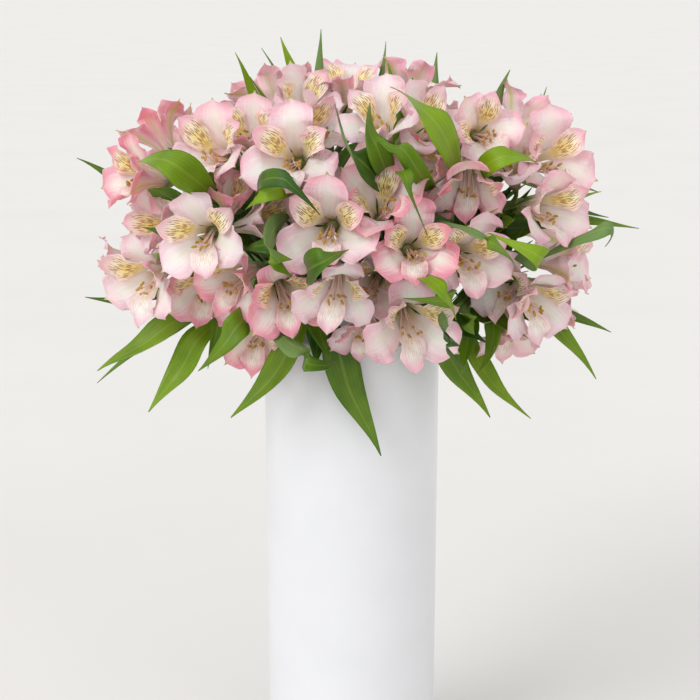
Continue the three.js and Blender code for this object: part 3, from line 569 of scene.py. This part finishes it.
def tepal_line(kind, openness):
    """Root, stations and tip of a tepal, as rows of radius and height."""
    stations = OUTER_LINE if kind == "outer" else INNER_LINE
    return np.array([ROOT] + [mix(np.array(shut), np.array(opened), openness) for opened, shut in stations])


def bloom_place(row, corners):
    """Foot and axes of a bloom: of the places that it may have taken, the one its solid's tips stand at."""
    x, y, z, turn, tilt, spin, openness, size = row[:8]
    slide, turn_by, tilt_by, spin_by = BLOOM_TRIALS.T
    facing = facing_of(turn + turn_by, tilt + tilt_by)
    angle = np.radians(turn + turn_by)
    right = np.stack([np.cos(angle), np.sin(angle), 0 * angle], -1)
    top = np.cross(facing, right)
    feet = np.array([x, y, z]) + facing_of(turn, tilt) * slide[:, None] - facing * FACE_DEPTH * size
    spun = np.radians(spin + spin_by)[:, None]
    across = right * np.cos(spun) + top * np.sin(spun)
    axes = np.stack([across, np.cross(facing, across), facing], -1)
    ends = [(degrees, *tepal_line(kind, openness)[-1]) for kind, degrees in TEPALS]
    tips = np.array([on_ring(radius, degrees, height) for degrees, radius, height in ends]) * size
    tips = feet[:, None] + np.einsum("nij,kj->nki", axes, tips)
    missed = np.sort(distances(tips, corners), axis=1)[:, -2]  # a joined bloom may hide one tip
    best = int(missed.argmin())
    if missed[best] > FOUND:
        raise RuntimeError(f"no bloom stands at {row}: the nearest misses by {missed[best]:.2f} mm")
    return feet[best], axes[best]


def leaf_facing(y, out=LEAF_OUT):
    return np.array([0, out if y >= 0 else -out, LEAF_UP])


def blade_axes(tangent, reach, facing, roll):
    """Direction across and normal of a leaf at a place along it. reach leads from its middle to its tip."""
    across = np.cross(facing, reach)
    across = unit(across - (across * tangent).sum(-1, keepdims=True) * tangent)
    across = turned_about(across, tangent, np.radians(roll)[:, None])
    return across, np.cross(tangent, across)


def blade_marks(root, bent, tip, facing, roll, width):
    """Both edges and the keel of blades at their widest place, for many middles and rolls at once."""
    at, fold = WIDEST_LEAF
    middle = mix(mix(root, bent, at), mix(bent, tip, at), at)
    across, normal = blade_axes(unit(mix(bent - root, tip - bent, at)), tip - bent, facing, roll)
    raised = middle + normal * width * fold
    half = across * width / 2
    return np.stack([raised - half, raised + half, middle - normal * BLADE / 2], 1)


def leaf_place(stem, row, corners):
    """A leaf: of the shapes that it may have taken, the one whose tip, edges and keel lie nearest to
    corners of the solid. Some are lost where the leaf passes into another one."""
    share, x, y, z, width, arch, bow, side = (*row, 0, 0)[:8]
    root = bezier(shoot_line(stem), share)[0]
    tip = np.array([x, y, z], float)
    facing = leaf_facing(y, BOWED_OUT if bow else LEAF_OUT)
    sideways = unit(np.cross(tip - root, facing))
    rising = unit(np.cross(sideways, tip - root))
    tips = tip + TIP_TRIALS[:, :1] * sideways + TIP_TRIALS[:, 1:] * rising
    side_by, bow_by, arch_by, rolls = BLADE_TRIALS.T
    bends = np.stack([side + side_by, -bow - bow_by, arch + arch_by], -1)
    apart = np.minimum(distances(tips, corners), LOST)
    least, best = math.inf, None
    for i in np.argsort(apart, kind="stable"):
        if least < apart[i] + FOUND:
            break
        bent = (root + tips[i]) / 2 + bends
        marks = blade_marks(root, bent, tips[i], facing, rolls, width)
        missed = apart[i] + np.minimum(distances(marks, corners), LOST).sum(1)
        k = int(missed.argmin())
        if missed[k] < least:
            least, best = missed[k], Leaf((root, bent[k], tips[i]), facing, rolls[k], width)
    return best


@functools.lru_cache
def arrangement():
    """Every stem with its blooms and leaves as they stand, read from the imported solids."""
    stems = []
    random = np.random.default_rng([SEED, 0])
    for stem in STEMS:
        corners = corners_of(f"stem_{stem.name}")
        blooms = []
        for number, row in enumerate(stem.blooms, 1):
            node = blooms[-1].node if row[-1] is JOINED else f"bloom_{stem.name}_{number}"
            foot, axes = bloom_place(row, corners_of(node))
            deep = number in DEEP_PINK.get(stem.name, ())
            tone = random.uniform(0.7, 0.95) if deep else random.uniform(0.08, 0.4)
            blooms.append(Bloom(foot, axes, *row[6:8], node, tone))
        leaves = [leaf_place(stem, row, corners) for row in stem.leaves]
        stems.append(stem._replace(blooms=blooms, leaves=leaves))
    return stems


# ---- tepals

ROWS = np.array([
    0, 0.1, 0.2, 0.3, 0.38, 0.45, 0.51, 0.57, 0.63, 0.68, 0.73, 0.78, 0.82, 0.86, 0.9, 0.94, 0.97, 1.0,
])
COLUMNS = np.sin(np.linspace(-np.pi / 2, np.pi / 2, 9))[None, :]
# Place along a tepal, and its width there as a share of its greatest width.
WIDTHS = {
    "outer": (
        (0, 0.16), (0.25, 0.24), (0.43, 0.52), (0.58, 0.84), (0.72, 1.0), (0.83, 0.99), (0.93, 0.74),
        (1, 0.1),
    ),
    "inner": (
        (0, 0.26), (0.28, 0.36), (0.46, 0.66), (0.62, 0.94), (0.74, 1.0), (0.85, 0.86), (0.94, 0.5),
        (1, 0.1),
    ),
}
MUCRO = {"outer": 2.3, "inner": 1.0}  # length of the green point on the tip
CUP = {"outer": 2.4, "inner": 2.0}  # how far the edges stand above the middle


def tepal_tints(kind, u, v, tone):
    """How pink, green, yellow, dashed and dark each place of a tepal is, above and below."""
    side = np.abs(u)
    margin = ease(0.1, 1.0, side) * ease(0.3, 0.75, v)
    tip, root, point = ease(0.6, 1.0, v), ease(0.4, 0.12, v), ease(1.0, 1.03, v)
    stripe = bump_at(u, 0.22) * ease(0.15, 0.4, v) * ease(0.97, 0.7, v)
    none = np.zeros_like(v)
    if kind == "outer":
        pink = (0.2 + 0.42 * margin + 0.34 * tip) * (1 - 0.65 * stripe)
        pink_below = (0.42 + 0.45 * margin + 0.3 * tip) * (1 - 0.5 * stripe)
        green, green_below = 0.2 * stripe, 0.75 * bump_at(u, 0.13) * ease(0.05, 0.3, v)
        flare, dashed = none, none
    else:
        pink = 0.12 + 0.4 * margin + 0.65 * ease(0.76, 0.95, v)
        pink_below = 0.35 + 0.4 * margin + 0.5 * tip
        green, green_below = none, 0.45 * stripe
        extent = ease(0.2, 0.42, v) * ease(0.95, 0.62, v) * (1 - 0.8 * side**2)
        strokes = ease(0.36, 0.46, v) * ease(0.9, 0.8, v) * (1 - side**4)
        flare, dashed = (0.15 * extent, 0.3 * strokes) if kind == "plain" else (0.9 * extent, strokes)
    strength = 0.75 + 0.75 * tone
    faces = {
        "pink": (pink * strength, pink_below * strength),
        "green": (green + point, green_below + 0.35 * root + point),
        "flare": (flare, none), "dashed": (dashed, none), "throat": (0.75 * root, none),
    }
    return {key: np.clip(np.ravel(both), 0, 1) for key, both in faces.items()}


def add_tepal(sheets, kind, degrees, bloom, look, random):
    """One tepal of a bloom as a thin closed sheet."""
    form = "outer" if kind == "outer" else "inner"
    greatest = (look.outer_width if form == "outer" else look.inner_width) / MM
    openness = bloom.openness + random.uniform(-0.14, 0.14)
    stations = tepal_line(kind, openness)
    chords = np.linalg.norm(np.diff(stations, axis=0), axis=1)
    place = np.concatenate([[0], np.cumsum(chords)]) / chords.sum()
    centre = spline(np.column_stack([place, stations]), ROWS)
    recurve = ease(0.65, 1.0, ROWS) * random.uniform(-1.0, 4.2) * (1 if form == "outer" else 0.7)
    centre = centre + recurve[:, None] * np.array([0.35, -1.0])
    slope = unit(np.gradient(centre, ROWS, axis=0))
    width = spline(WIDTHS[form], ROWS)[:, 0] * greatest * mix(0.72, 1, openness)

    # the green point carries on past the tip
    point = slope[-1] * MUCRO[form]
    centre = np.vstack([centre, centre[-1] + point * 0.6, centre[-1] + point])
    slope = np.vstack([slope, slope[-1], slope[-1]])
    width = np.concatenate([width, [1.1, 0.35]])[:, None]
    v = np.concatenate([ROWS, [1.04, 1.07]])

    # waves of the two edges, the cup and a groove along the middle, as heights above the middle surface
    u, shut = COLUMNS, ease(0.75, 0.2, openness)
    phase, waves = random.uniform(0, 2 * np.pi, 2), random.uniform(1.6, 3.2)
    wave = np.sin(waves * 2 * np.pi * v[:, None] + np.where(u > 0, phase[0], phase[1]))
    crimp = 0.35 * np.sin(2.7 * waves * 2 * np.pi * v[:, None] + np.where(u > 0, phase[1], phase[0]))
    ruffle = look.ruffle / MM * (wave + crimp) * np.abs(u) ** 2 * ease(0.4, 0.75, v)[:, None]
    cup = (CUP[form] + 2.5 * shut) * np.sin(np.pi * np.clip(v, 0, 1) * 0.92)[:, None] * u**2
    groove = -0.35 * bump_at(u, 0.16) * ease(0.1, 0.4, v)[:, None]
    rise = (cup + ruffle + groove) * (width / greatest) ** 0.5
    lean = random.uniform(-2.6, 2.6) * ease(0.4, 1.0, v)  # a little to one side
    twist = np.radians(random.uniform(-20, 20)) * ease(0.3, 1.0, v)

    normal = np.stack([-slope[:, 1], 0 * v, slope[:, 0]], -1)
    across = np.stack([np.sin(twist) * normal[:, 0], np.cos(twist), np.sin(twist) * normal[:, 2]], -1)
    tilted = np.cross(np.stack([slope[:, 0], 0 * v, slope[:, 1]], -1), across)
    middle = np.stack([centre[:, 0], lean, centre[:, 1]], -1)[:, None]
    middle = middle + across[:, None] * (width / 2 * u)[..., None] + tilted[:, None] * rise[..., None]

    angle = np.radians(degrees + random.uniform(-4, 4))
    spin = np.array([[np.cos(angle), -np.sin(angle), 0], [np.sin(angle), np.cos(angle), 0], [0, 0, 1]])
    turn = bloom.axes @ spin
    tone = float(np.clip(bloom.tone + random.uniform(-0.08, 0.08), 0, 1))
    thickness = look.thickness / MM * (1 - 0.5 * np.abs(u))
    u, v = np.broadcast_arrays(u, v[:, None])
    sheets.sheet(
        bloom.foot + middle * bloom.size @ turn.T, tilted[:, None] @ turn.T, thickness, (u + 1) / 2, v,
        tone=tone, **tepal_tints(kind, u, v, tone))


# ---- stamens, ovaries, stalks and stems

# Height and radius of the forms that are turned.
OVARY = ((0, 1.5), (0.6, 2.0), (2.0, 3.2), (4.2, 4.0), (6.4, 3.9), (8.0, 3.2))
UMBEL = ((-5, 2.0), (-3.5, 3.6), (0, 4.4), (3.4, 3.4), (4.6, 1.6))
STALK_RADII = STALK_RADIUS * np.array([1.5, 1.1, 0.95, 0.95, 0.95, 1.0, 1.1, 1.3, 1.5])
STAMENS = 6
ANTHER = {"Length": 0.0046, "Width": 0.0018}  # in metres


def stamen_lines(bloom, random):
    """Six filaments and the style, bent towards the lower tepal and up again at the end."""
    lines = []
    for k in range(STAMENS + 1):
        angle = np.radians(60 * k + 20)
        start = np.array([1.5 * np.cos(angle), 1.5 * np.sin(angle), 8.0])
        spread = 0.25 if k == STAMENS else 1.0
        side = spread * 5.0 * np.cos(angle) + random.uniform(-0.8, 0.8)
        end = np.array([side, -5.5 + spread * 2.4 * np.sin(angle), random.uniform(29, 37)])
        end *= np.array([1, 1, mix(0.92, 1, bloom.openness)])
        bend = (start, start + np.array([0, -2.5, 11]), end + np.array([0, -3.5, -8]), end)
        local = bezier(bend, np.linspace(0, 1, 7)) * bloom.size
        lines.append((bloom.foot + local @ bloom.axes.T, np.linspace(0.55, 0.32, 7)))
    return lines


def node_bumps(length, radius, gap=46.0):
    """Places and radii along a stem, with a slight swelling at each of its nodes."""
    along = np.linspace(0, length, max(int(length / 6), 8))
    return along / length, radius + 0.45 * bump_at((along % gap) - gap / 2, 2.6)


# ---- leaves

PAINTED_SHADE_TONES = (0, 0.5)  # the range of tones of a leaf deep in the bouquet, kept to the darker half: painted shade
LEAF_ROWS = np.linspace(0, 1, 23)
LEAF_COLUMNS = np.linspace(-1, 1, 7)[None, :]
LEAF_WIDTHS = (
    (0, 0.1), (0.12, 0.14), (0.28, 0.38), (0.4, 0.8), (0.53, 1.0), (0.68, 0.82), (0.83, 0.44), (0.94, 0.15),
    (1, 0.03),
)


def add_leaf(sheets, leaf, look, random):
    """One lance-shaped leaf, folded along its middle and waved along its edges, as a thin closed sheet."""
    line, s, u = leaf.line, LEAF_ROWS, LEAF_COLUMNS
    length = np.linalg.norm(line[-1] - line[0])
    twist = random.uniform(-22, 22) * (ease(0.5, 1.0, s) - 0.6 * ease(0.5, 0.1, s))
    across, normal = blade_axes(bezier_tangents(line, s), line[2] - line[1], leaf.facing, leaf.roll + twist)
    bend = random.uniform(-1, 1) * 0.05 * length
    curl = random.uniform(-0.3, 1.0) * 0.05 * length
    hook = random.uniform(-1, 1) * 0.075 * length
    aside = bend * np.sin(np.pi * s) * ease(0, 0.3, s) + hook * ease(0.62, 1.05, s)
    middle = bezier(line, s) + across * aside[:, None]
    middle = middle + normal * (curl * np.sin(2 * np.pi * ease(0.15, 1, s)) * ease(0.15, 0.5, s))[:, None]
    width = spline(LEAF_WIDTHS, s) * leaf.width
    fold = random.uniform(0.04, 0.16) * width * np.abs(u) ** 1.4
    wave = 0.05 * width * np.sin(random.uniform(2, 3.4) * 2 * np.pi * s[:, None] + 2.4 * u) * np.abs(u) ** 2
    points = middle[:, None] + across[:, None] * (width / 2 * u)[..., None]
    points = points + normal[:, None] * (fold + wave)[..., None]
    thickness = look.thickness / MM * (1.5 - 0.8 * np.abs(u))
    # a leaf's tone between grown and fresh green: random on most leaves, painted shade on the inner ones
    tone = random.uniform(*leaf.tones)
    sheets.sheet(points, normal[:, None], thickness, (u + 1) / 2, s[:, None], tone=tone)


def inner_leaves(stem, random):
    """Small leaves among the stalks, aimed between the blooms and at the bouquet's middle, with tones kept
    dark as painted shade.
    """
    tips = []
    for one, other in zip(stem.blooms, stem.blooms[1:] + stem.blooms[:1]):
        for _ in range(2):
            between = mix(one.foot, other.foot, random.uniform(0.25, 0.75))
            tips.append(between + (one.axes[:, 2] + other.axes[:, 2]) * random.uniform(0, 9))
    inwards = np.array(stem.umbel, float) * (0.55, 0.55, 1.0)
    tips += [inwards + random.uniform((-16, -16, 0), (16, 16, 24)) for _ in range(3)]
    leaves = []
    for tip in tips:
        root = bezier(shoot_line(stem), random.uniform(0.4, 0.9))[0]
        middle = (root + tip) / 2 + UP * random.uniform(2, 12)
        roll, width = random.uniform(-50, 50), random.uniform(11, 16)
        leaves.append(Leaf((root, middle, tip), leaf_facing(tip[1]), roll, width, PAINTED_SHADE_TONES))
    return leaves


# ---- materials

# A Mix node of colours takes the share as its input 0 and the two colours as 6 and 7. Its result is output 2.
COLOUR_MIX = {"out": 2, "data_type": "RGBA"}


def new_material(name):
    """A material with an empty tree."""
    material = bpy.data.materials.new(name)
    material.use_nodes = True
    material.node_tree.nodes.clear()
    return material, material.node_tree


def surfaced(material, inputs):
    """Feeds a Principled shader with these inputs to the material's output."""
    shader = add_node(material.node_tree, "ShaderNodeBsdfPrincipled", inputs)
    add_node(material.node_tree, "ShaderNodeOutputMaterial", {"Surface": shader})
    return material


def tepal_material(look):
    """Fresh petal tissue, grown: matt and faintly velvety, and it glows where light passes through."""
    material, tree = new_material("petal_tissue_grown")
    surface = add_node(tree, "ShaderNodeUVMap", uv_map="surface")
    amount = {
        key: add_node(tree, "ShaderNodeAttribute", out="Fac", attribute_name=key)
        for key in ("tone", "pink", "green", "flare", "throat", "dashed")
    }
    # veins run lengthwise, about one to the millimetre
    lines = add_node(tree, "ShaderNodeMapping", {"Vector": surface, "Scale": (28.0, 2.2, 1.0)})
    veins = add_node(tree, "ShaderNodeTexNoise", {"Vector": lines, "Scale": 1.0, "Detail": 3.0})
    uneven = add_node(tree, "ShaderNodeMapRange", {
        "Value": veins, "From Min": 0.3, "From Max": 0.7, "To Min": 0.72, "To Max": 1.24,
    })
    # strokes of about 0.5 by 4.5 mm, in rows that follow the veins
    rows = add_node(tree, "ShaderNodeMapping", {"Vector": surface, "Scale": (21.0, 6.0, 1.0)})
    spots = add_node(tree, "ShaderNodeTexVoronoi", {
        "Vector": rows, "Scale": 1.0, "Randomness": 0.8,
    }, out="Distance", voronoi_dimensions="2D")
    strokes = add_node(tree, "ShaderNodeMapRange", {
        "Value": spots, "From Min": 0.36, "From Max": 0.24, "To Min": 0.0, "To Max": 0.9,
    })
    blush, drawn = (
        add_node(tree, "ShaderNodeMath", {0: one, 1: other}, operation="MULTIPLY", use_clamp=True)
        for one, other in ((amount["pink"], uneven), (strokes, amount["dashed"])))
    rose = add_node(tree, "ShaderNodeMix", {0: amount["tone"], 6: look.pink, 7: look.deep}, **COLOUR_MIX)
    colour = look.pale
    for share, tint in (
        (blush, rose), (amount["green"], look.keel), (amount["flare"], look.blotch),
        (amount["throat"], linear("#C4BA78")), (drawn, look.dash),
    ):
        colour = add_node(tree, "ShaderNodeMix", {0: share, 6: colour, 7: tint}, **COLOUR_MIX)
    relief = add_node(tree, "ShaderNodeBump", {"Height": veins, "Strength": 0.6, "Distance": 0.0009})
    return surfaced(material, {
        "Base Color": colour, "Roughness": 0.55, "Sheen Weight": 0.12, "Normal": relief,
        "Subsurface Weight": 0.5, "Subsurface Radius": (1.0, 0.45, 0.4), "Subsurface Scale": 0.004,
    })


def leaf_material(look):
    """Fresh leaf, grown: waxy and half glossy above with veins that run its length, bluish and matt below."""
    material, tree = new_material("fresh_leaf_grown")
    surface = add_node(tree, "ShaderNodeUVMap", uv_map="surface")
    inside, tone = (
        add_node(tree, "ShaderNodeAttribute", out="Fac", attribute_name=key) for key in ("inside", "tone"))
    # the tone picks between grown and fresh green: a random age on most leaves, and painted shade on the
    # inner leaves, whose tones keep to the darker half
    place = add_node(tree, "ShaderNodeTexCoord", out="Object")
    patches = add_node(tree, "ShaderNodeTexNoise", {"Vector": place, "Scale": 38.0, "Detail": 2.0})
    patchy = add_node(tree, "ShaderNodeMath", {0: patches, 1: tone}, operation="ADD")
    age_and_painted_shade = add_node(tree, "ShaderNodeMapRange", {"Value": patchy, "From Min": 0.5, "From Max": 1.5})
    # the midrib, about 1 mm wide, is the palest line
    across = add_node(tree, "ShaderNodeSeparateXYZ", {0: surface})
    aside = add_node(tree, "ShaderNodeMath", {0: across, 1: 0.5}, operation="SUBTRACT")
    apart = add_node(tree, "ShaderNodeMath", {0: aside}, operation="ABSOLUTE")
    midrib = add_node(tree, "ShaderNodeMapRange", {
        "Value": apart, "From Min": 0.05, "From Max": 0.01, "To Min": 0.0, "To Max": 0.2,
    })
    upper = add_node(tree, "ShaderNodeMix", {0: age_and_painted_shade, 6: look.grown, 7: look.fresh}, **COLOUR_MIX)
    sides = add_node(tree, "ShaderNodeMix", {0: inside, 6: look.under, 7: upper}, **COLOUR_MIX)
    ribbed = add_node(tree, "ShaderNodeMix", {0: midrib, 6: sides, 7: linear("#A9BC58")}, **COLOUR_MIX)
    # the main veins stand side by side, about 1.5 mm apart
    lines = add_node(tree, "ShaderNodeMapping", {"Vector": surface, "Scale": (1.0, 0.12, 1.0)})
    veins = add_node(tree, "ShaderNodeTexWave", {
        "Vector": lines, "Scale": 3.1, "Distortion": 0.5, "Detail": 1.0, "Detail Scale": 2.0,
    }, out="Fac", wave_type="BANDS", bands_direction="X")
    streak = add_node(tree, "ShaderNodeMapRange", {"Value": veins, "To Min": 0.93, "To Max": 1.06})
    wax = add_node(tree, "ShaderNodeMapRange", {"Value": inside, "To Min": 0.66, "To Max": 0.46})
    relief = add_node(tree, "ShaderNodeBump", {"Height": veins, "Strength": 0.2, "Distance": 0.0004})
    return surfaced(material, {
        "Base Color": add_node(tree, "ShaderNodeVectorMath", {0: ribbed, "Scale": streak}, operation="SCALE"),
        "Roughness": wax, "Specular IOR Level": 0.3, "Normal": relief,
        "Subsurface Weight": 0.12, "Subsurface Radius": (0.4, 1.0, 0.2), "Subsurface Scale": 0.002,
    })


def mottled_material(name, dark, light, scale, roughness, bumps=0.0, coat=None):
    """A grown or fired surface whose colour wanders between two tones. scale is in spots to the metre."""
    material, tree = new_material(name)
    place = add_node(tree, "ShaderNodeTexCoord", out="Object")
    spots = add_node(tree, "ShaderNodeTexNoise", {"Vector": place, "Scale": scale, "Detail": 4.0})
    share = add_node(tree, "ShaderNodeMapRange", {"Value": spots, "From Min": 0.3, "From Max": 0.7})
    colour = add_node(tree, "ShaderNodeMix", {0: share, 6: dark, 7: light}, **COLOUR_MIX)
    inputs = {"Base Color": colour, "Roughness": roughness, **(coat or {})}
    if bumps:
        inputs["Normal"] = add_node(
            tree, "ShaderNodeBump", {"Height": spots, "Strength": 0.3, "Distance": bumps})
    return surfaced(material, inputs)


def scaled(colour, factor):
    return tuple(channel * factor for channel in colour)


# ---- operators

class BOUQUET_OT_vase(bpy.types.Operator):
    """A tall straight vase, thrown and dipped in white glaze, with a rounded lip and a chamfered foot"""
    bl_idname = "bouquet.vase"
    bl_label = "Vase"

    def execute(self, context):
        look = context.scene.bouquet_vase
        height, radius, wall = look.height / MM, look.radius / MM, look.wall / MM
        inner, lip = radius - wall, wall / 2
        profile = [(0, 1.0), (0, radius - 3.0), (0.4, radius - 1.2), (1.6, radius - 0.2), (3.0, radius)]
        profile += [(z, radius) for z in np.linspace(height * 0.1, height * 0.9, 9)]
        for angle in np.linspace(0, np.pi, 9):
            profile.append((height - lip + lip * math.sin(angle), radius - lip + lip * math.cos(angle)))
        profile += [(z, inner) for z in np.linspace(height * 0.9, VASE_FLOOR + 8, 9)]
        profile += [(VASE_FLOOR + 2.0, inner - 2.0), (VASE_FLOOR, inner - 7.0), (VASE_FLOOR, 1.0)]
        # glazed stoneware, dipped and fired: white, smooth and half glossy, with a faint pooling of the glaze
        material = mottled_material(
            "glazed_stoneware_fired", scaled(look.glaze, 0.96), look.glaze, 22.0, 0.3, 0.0002,
            {"Coat Weight": 0.35, "Coat Roughness": 0.12})
        sheets = Sheets()
        sheets.turned(profile, np.zeros(3), np.identity(3), look.sides)
        finished(sheets.object("vase_glazed", material), "vase", "vase")
        return {"FINISHED"}


class BOUQUET_OT_water(bpy.types.Operator):
    """Clear water that the stems stand in: the solid's own mesh with a clear finish"""
    bl_idname = "bouquet.water"
    bl_label = "Water"

    def execute(self, context):
        # still tap water: clear, smooth, bends light by a third
        clear = {"Base Color": linear("#E4F0EA"), "Roughness": 0.02, "IOR": 1.333, "Transmission Weight": 0.9}
        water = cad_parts["water"].data
        water.materials.clear()
        water.materials.append(surfaced(new_material("still_water")[0], clear))
        return {"FINISHED"}


class BOUQUET_OT_stems(bpy.types.Operator):
    """Green stems from the vase floor to the umbels, and the thin stalk of each bloom"""
    bl_idname = "bouquet.stems"
    bl_label = "Stems and stalks"

    def execute(self, context):
        look = context.scene.bouquet_greens
        # living stem: smooth, waxy, a little lighter and darker along its length
        material = mottled_material("green_stem_grown", scaled(look.stem, 0.7), look.stem, 60.0, 0.42)
        tree = bar_tree()
        sideways = unit(np.cross(UP, [1.0, 0.2, 0.1]))
        axes = np.stack([np.cross(sideways, UP), sideways, UP], -1)
        for stem in arrangement():
            foot, top = stem_ends(stem)
            places, radii = node_bumps(np.linalg.norm(top - foot), STEM_RADIUS)
            along, shoot_radii = node_bumps(110, SHOOT_RADIUS)
            bars = [(mix(foot, top, places[:, None]), radii), (bezier(shoot_line(stem), along), shoot_radii)]
            for bloom in stem.blooms:
                bars.append((bezier(stalk_line(stem, bloom), np.linspace(0, 1, 9)), STALK_RADII))
            piece = grown(f"stalks_{stem.name}", tree, bars, Sides=9, Material=material)
            finished(piece, "stem", f"stem_{stem.name}")
            sheets = Sheets()
            sheets.turned(UMBEL, np.array(stem.umbel, float), axes, 14, ribs=5, rib_height=0.1)
            finished(sheets.object(f"umbel_{stem.name}", material), "stem")
        return {"FINISHED"}


class BOUQUET_OT_leaves(bpy.types.Operator):
    """Lance-shaped leaves with a fold, waved edges and a twist at the base, on each stem"""
    bl_idname = "bouquet.leaves"
    bl_label = "Leaves"

    def execute(self, context):
        look = context.scene.bouquet_greens
        material = leaf_material(look)
        for number, stem in enumerate(arrangement()):
            random = np.random.default_rng([SEED, 1, number])
            sheets = Sheets()
            for leaf in stem.leaves:
                add_leaf(sheets, leaf, look, random)
            for leaf in inner_leaves(stem, random):
                add_leaf(sheets, leaf, look, random)
            finished(sheets.object(f"leaves_{stem.name}", material), "stem", f"stem_{stem.name}")
        return {"FINISHED"}


class BOUQUET_OT_tepals(bpy.types.Operator):
    """Six ruffled tepals on each bloom: three broad outer ones, two marked inner ones and a plain one"""
    bl_idname = "bouquet.tepals"
    bl_label = "Tepals"

    def execute(self, context):
        look = context.scene.bouquet_blooms
        material = tepal_material(look)
        for number, stem in enumerate(arrangement()):
            random = np.random.default_rng([SEED, 2, number])
            for node, blooms in itertools.groupby(stem.blooms, lambda bloom: bloom.node):
                sheets = Sheets()
                for bloom, (kind, degrees) in itertools.product(blooms, TEPALS):
                    add_tepal(sheets, kind, degrees, bloom, look, random)
                finished(sheets.object(node.replace("bloom", "tepals"), material), "bloom", node)
        return {"FINISHED"}


class BOUQUET_OT_hearts(bpy.types.Operator):
    """The ribbed green ovary under each bloom, and the stamens in its throat"""
    bl_idname = "bouquet.hearts"
    bl_label = "Ovaries and stamens"

    def execute(self, context):
        green = context.scene.bouquet_greens.stem
        # ovary: fleshy green with a pink flush; filaments: pale and silky; anthers: dry ochre pollen
        ovary = mottled_material("ovary_grown", scaled(green, 0.9), linear("#A9A86B"), 260.0, 0.4)
        silk = mottled_material("filament_grown", linear("#F2C7C4"), linear("#F8E2DA"), 300.0, 0.5)
        pollen = mottled_material("pollen_dry", linear("#8A6A22"), linear("#CDA244"), 900.0, 0.85, 0.0003)
        bars, tips = bar_tree(), anther_tree()
        for number, stem in enumerate(arrangement()):
            random = np.random.default_rng([SEED, 3, number])
            sheets, lines, ends = Sheets(), [], []
            for bloom in stem.blooms:
                profile = np.array(OVARY) * bloom.size
                sheets.turned(profile, bloom.foot, bloom.axes, 18, ribs=6, rib_height=0.09)
                stamens = stamen_lines(bloom, random)
                lines += stamens
                ends += stamens[:STAMENS]
            finished(sheets.object(f"ovaries_{stem.name}", ovary), "bloom")
            finished(grown(f"filaments_{stem.name}", bars, lines, Sides=5, Material=silk), "bloom")
            anthers = grown(f"anthers_{stem.name}", tips, ends, Seed=number, Material=pollen, **ANTHER)
            finished(anthers, "bloom")
        return {"FINISHED"}


class BOUQUET_OT_stage(bpy.types.Operator):
    """A plain pale floor, a soft key light from the left, a weak fill, and the camera"""
    bl_idname = "bouquet.stage"
    bl_label = "Floor, light and camera"

    def execute(self, context):
        floor = bpy.data.meshes.new("floor")
        corners = [(x * FLOOR_HALF, y * FLOOR_HALF, 0) for x, y in ((-1, -1), (1, -1), (1, 1), (-1, 1))]
        floor.from_pydata(corners, [], [(0, 1, 2, 3)])
        # matt wall paint, rolled: pale, with a hardly visible unevenness
        paint = mottled_material("matt_paint_rolled", linear("#DBD9D5"), linear("#DEDCD8"), 3.0, 0.9)
        floor.materials.append(paint)
        linked("floor", floor)

        world = bpy.data.worlds.new("soft_room")
        world.use_nodes = True
        background = world.node_tree.nodes["Background"].inputs
        background["Color"].default_value = (*linear("#F7F7F8"), 1.0)
        background["Strength"].default_value = ROOM_LIGHT
        context.scene.world = world
        context.scene.view_settings.view_transform = "Standard"

        for name, (place, power, spread) in LIGHTS.items():
            light = bpy.data.lights.new(name, "SUN")
            light.energy, light.angle = power, math.radians(spread)
            stand = linked(name, light)
            stand.location = place
            stand.rotation_euler = (Vector(LIGHT_AIM) - Vector(place)).to_track_quat("-Z", "Y").to_euler()

        camera = bpy.data.cameras.new("camera")
        camera.lens, camera.sensor_width, camera.clip_end = LENS, SENSOR, 200.0
        stand = linked("camera", camera)
        stand.location = CAMERA_PLACE
        stand.rotation_euler = (math.radians(90 - CAMERA_PITCH), 0, 0)
        context.scene.camera = stand
        return {"FINISHED"}


class BOUQUET_PT_panel(bpy.types.Panel):
    """Sizes, colours and pieces of the bouquet"""
    bl_idname = "BOUQUET_PT_panel"
    bl_label = "Alstroemeria bouquet"
    bl_space_type = "VIEW_3D"
    bl_region_type = "UI"
    bl_category = "Bouquet"

    def draw(self, context):
        for key, group in GROUPS.items():
            box = self.layout.box()
            for name in group.__annotations__:
                box.prop(getattr(context.scene, key), name)
        for operator in OPERATORS:
            self.layout.operator(operator.bl_idname)


# ---- registering and running

GROUPS = {"bouquet_vase": BouquetVase, "bouquet_blooms": BouquetBlooms, "bouquet_greens": BouquetGreens}
OPERATORS = (
    BOUQUET_OT_stage, BOUQUET_OT_vase, BOUQUET_OT_water, BOUQUET_OT_stems, BOUQUET_OT_leaves,
    BOUQUET_OT_tepals, BOUQUET_OT_hearts,
)
CLASSES = (*GROUPS.values(), *OPERATORS, BOUQUET_PT_panel)


def register():
    for item in CLASSES:
        bpy.utils.register_class(item)
    for name, group in GROUPS.items():
        setattr(bpy.types.Scene, name, PointerProperty(type=group))


def unregister():
    for name in GROUPS:
        delattr(bpy.types.Scene, name)
    for item in reversed(CLASSES):
        bpy.utils.unregister_class(item)


def main():
    register()
    for operator in OPERATORS:
        package, name = operator.bl_idname.split(".")
        getattr(getattr(bpy.ops, package), name)()


if __name__ == "__main__":
    main()
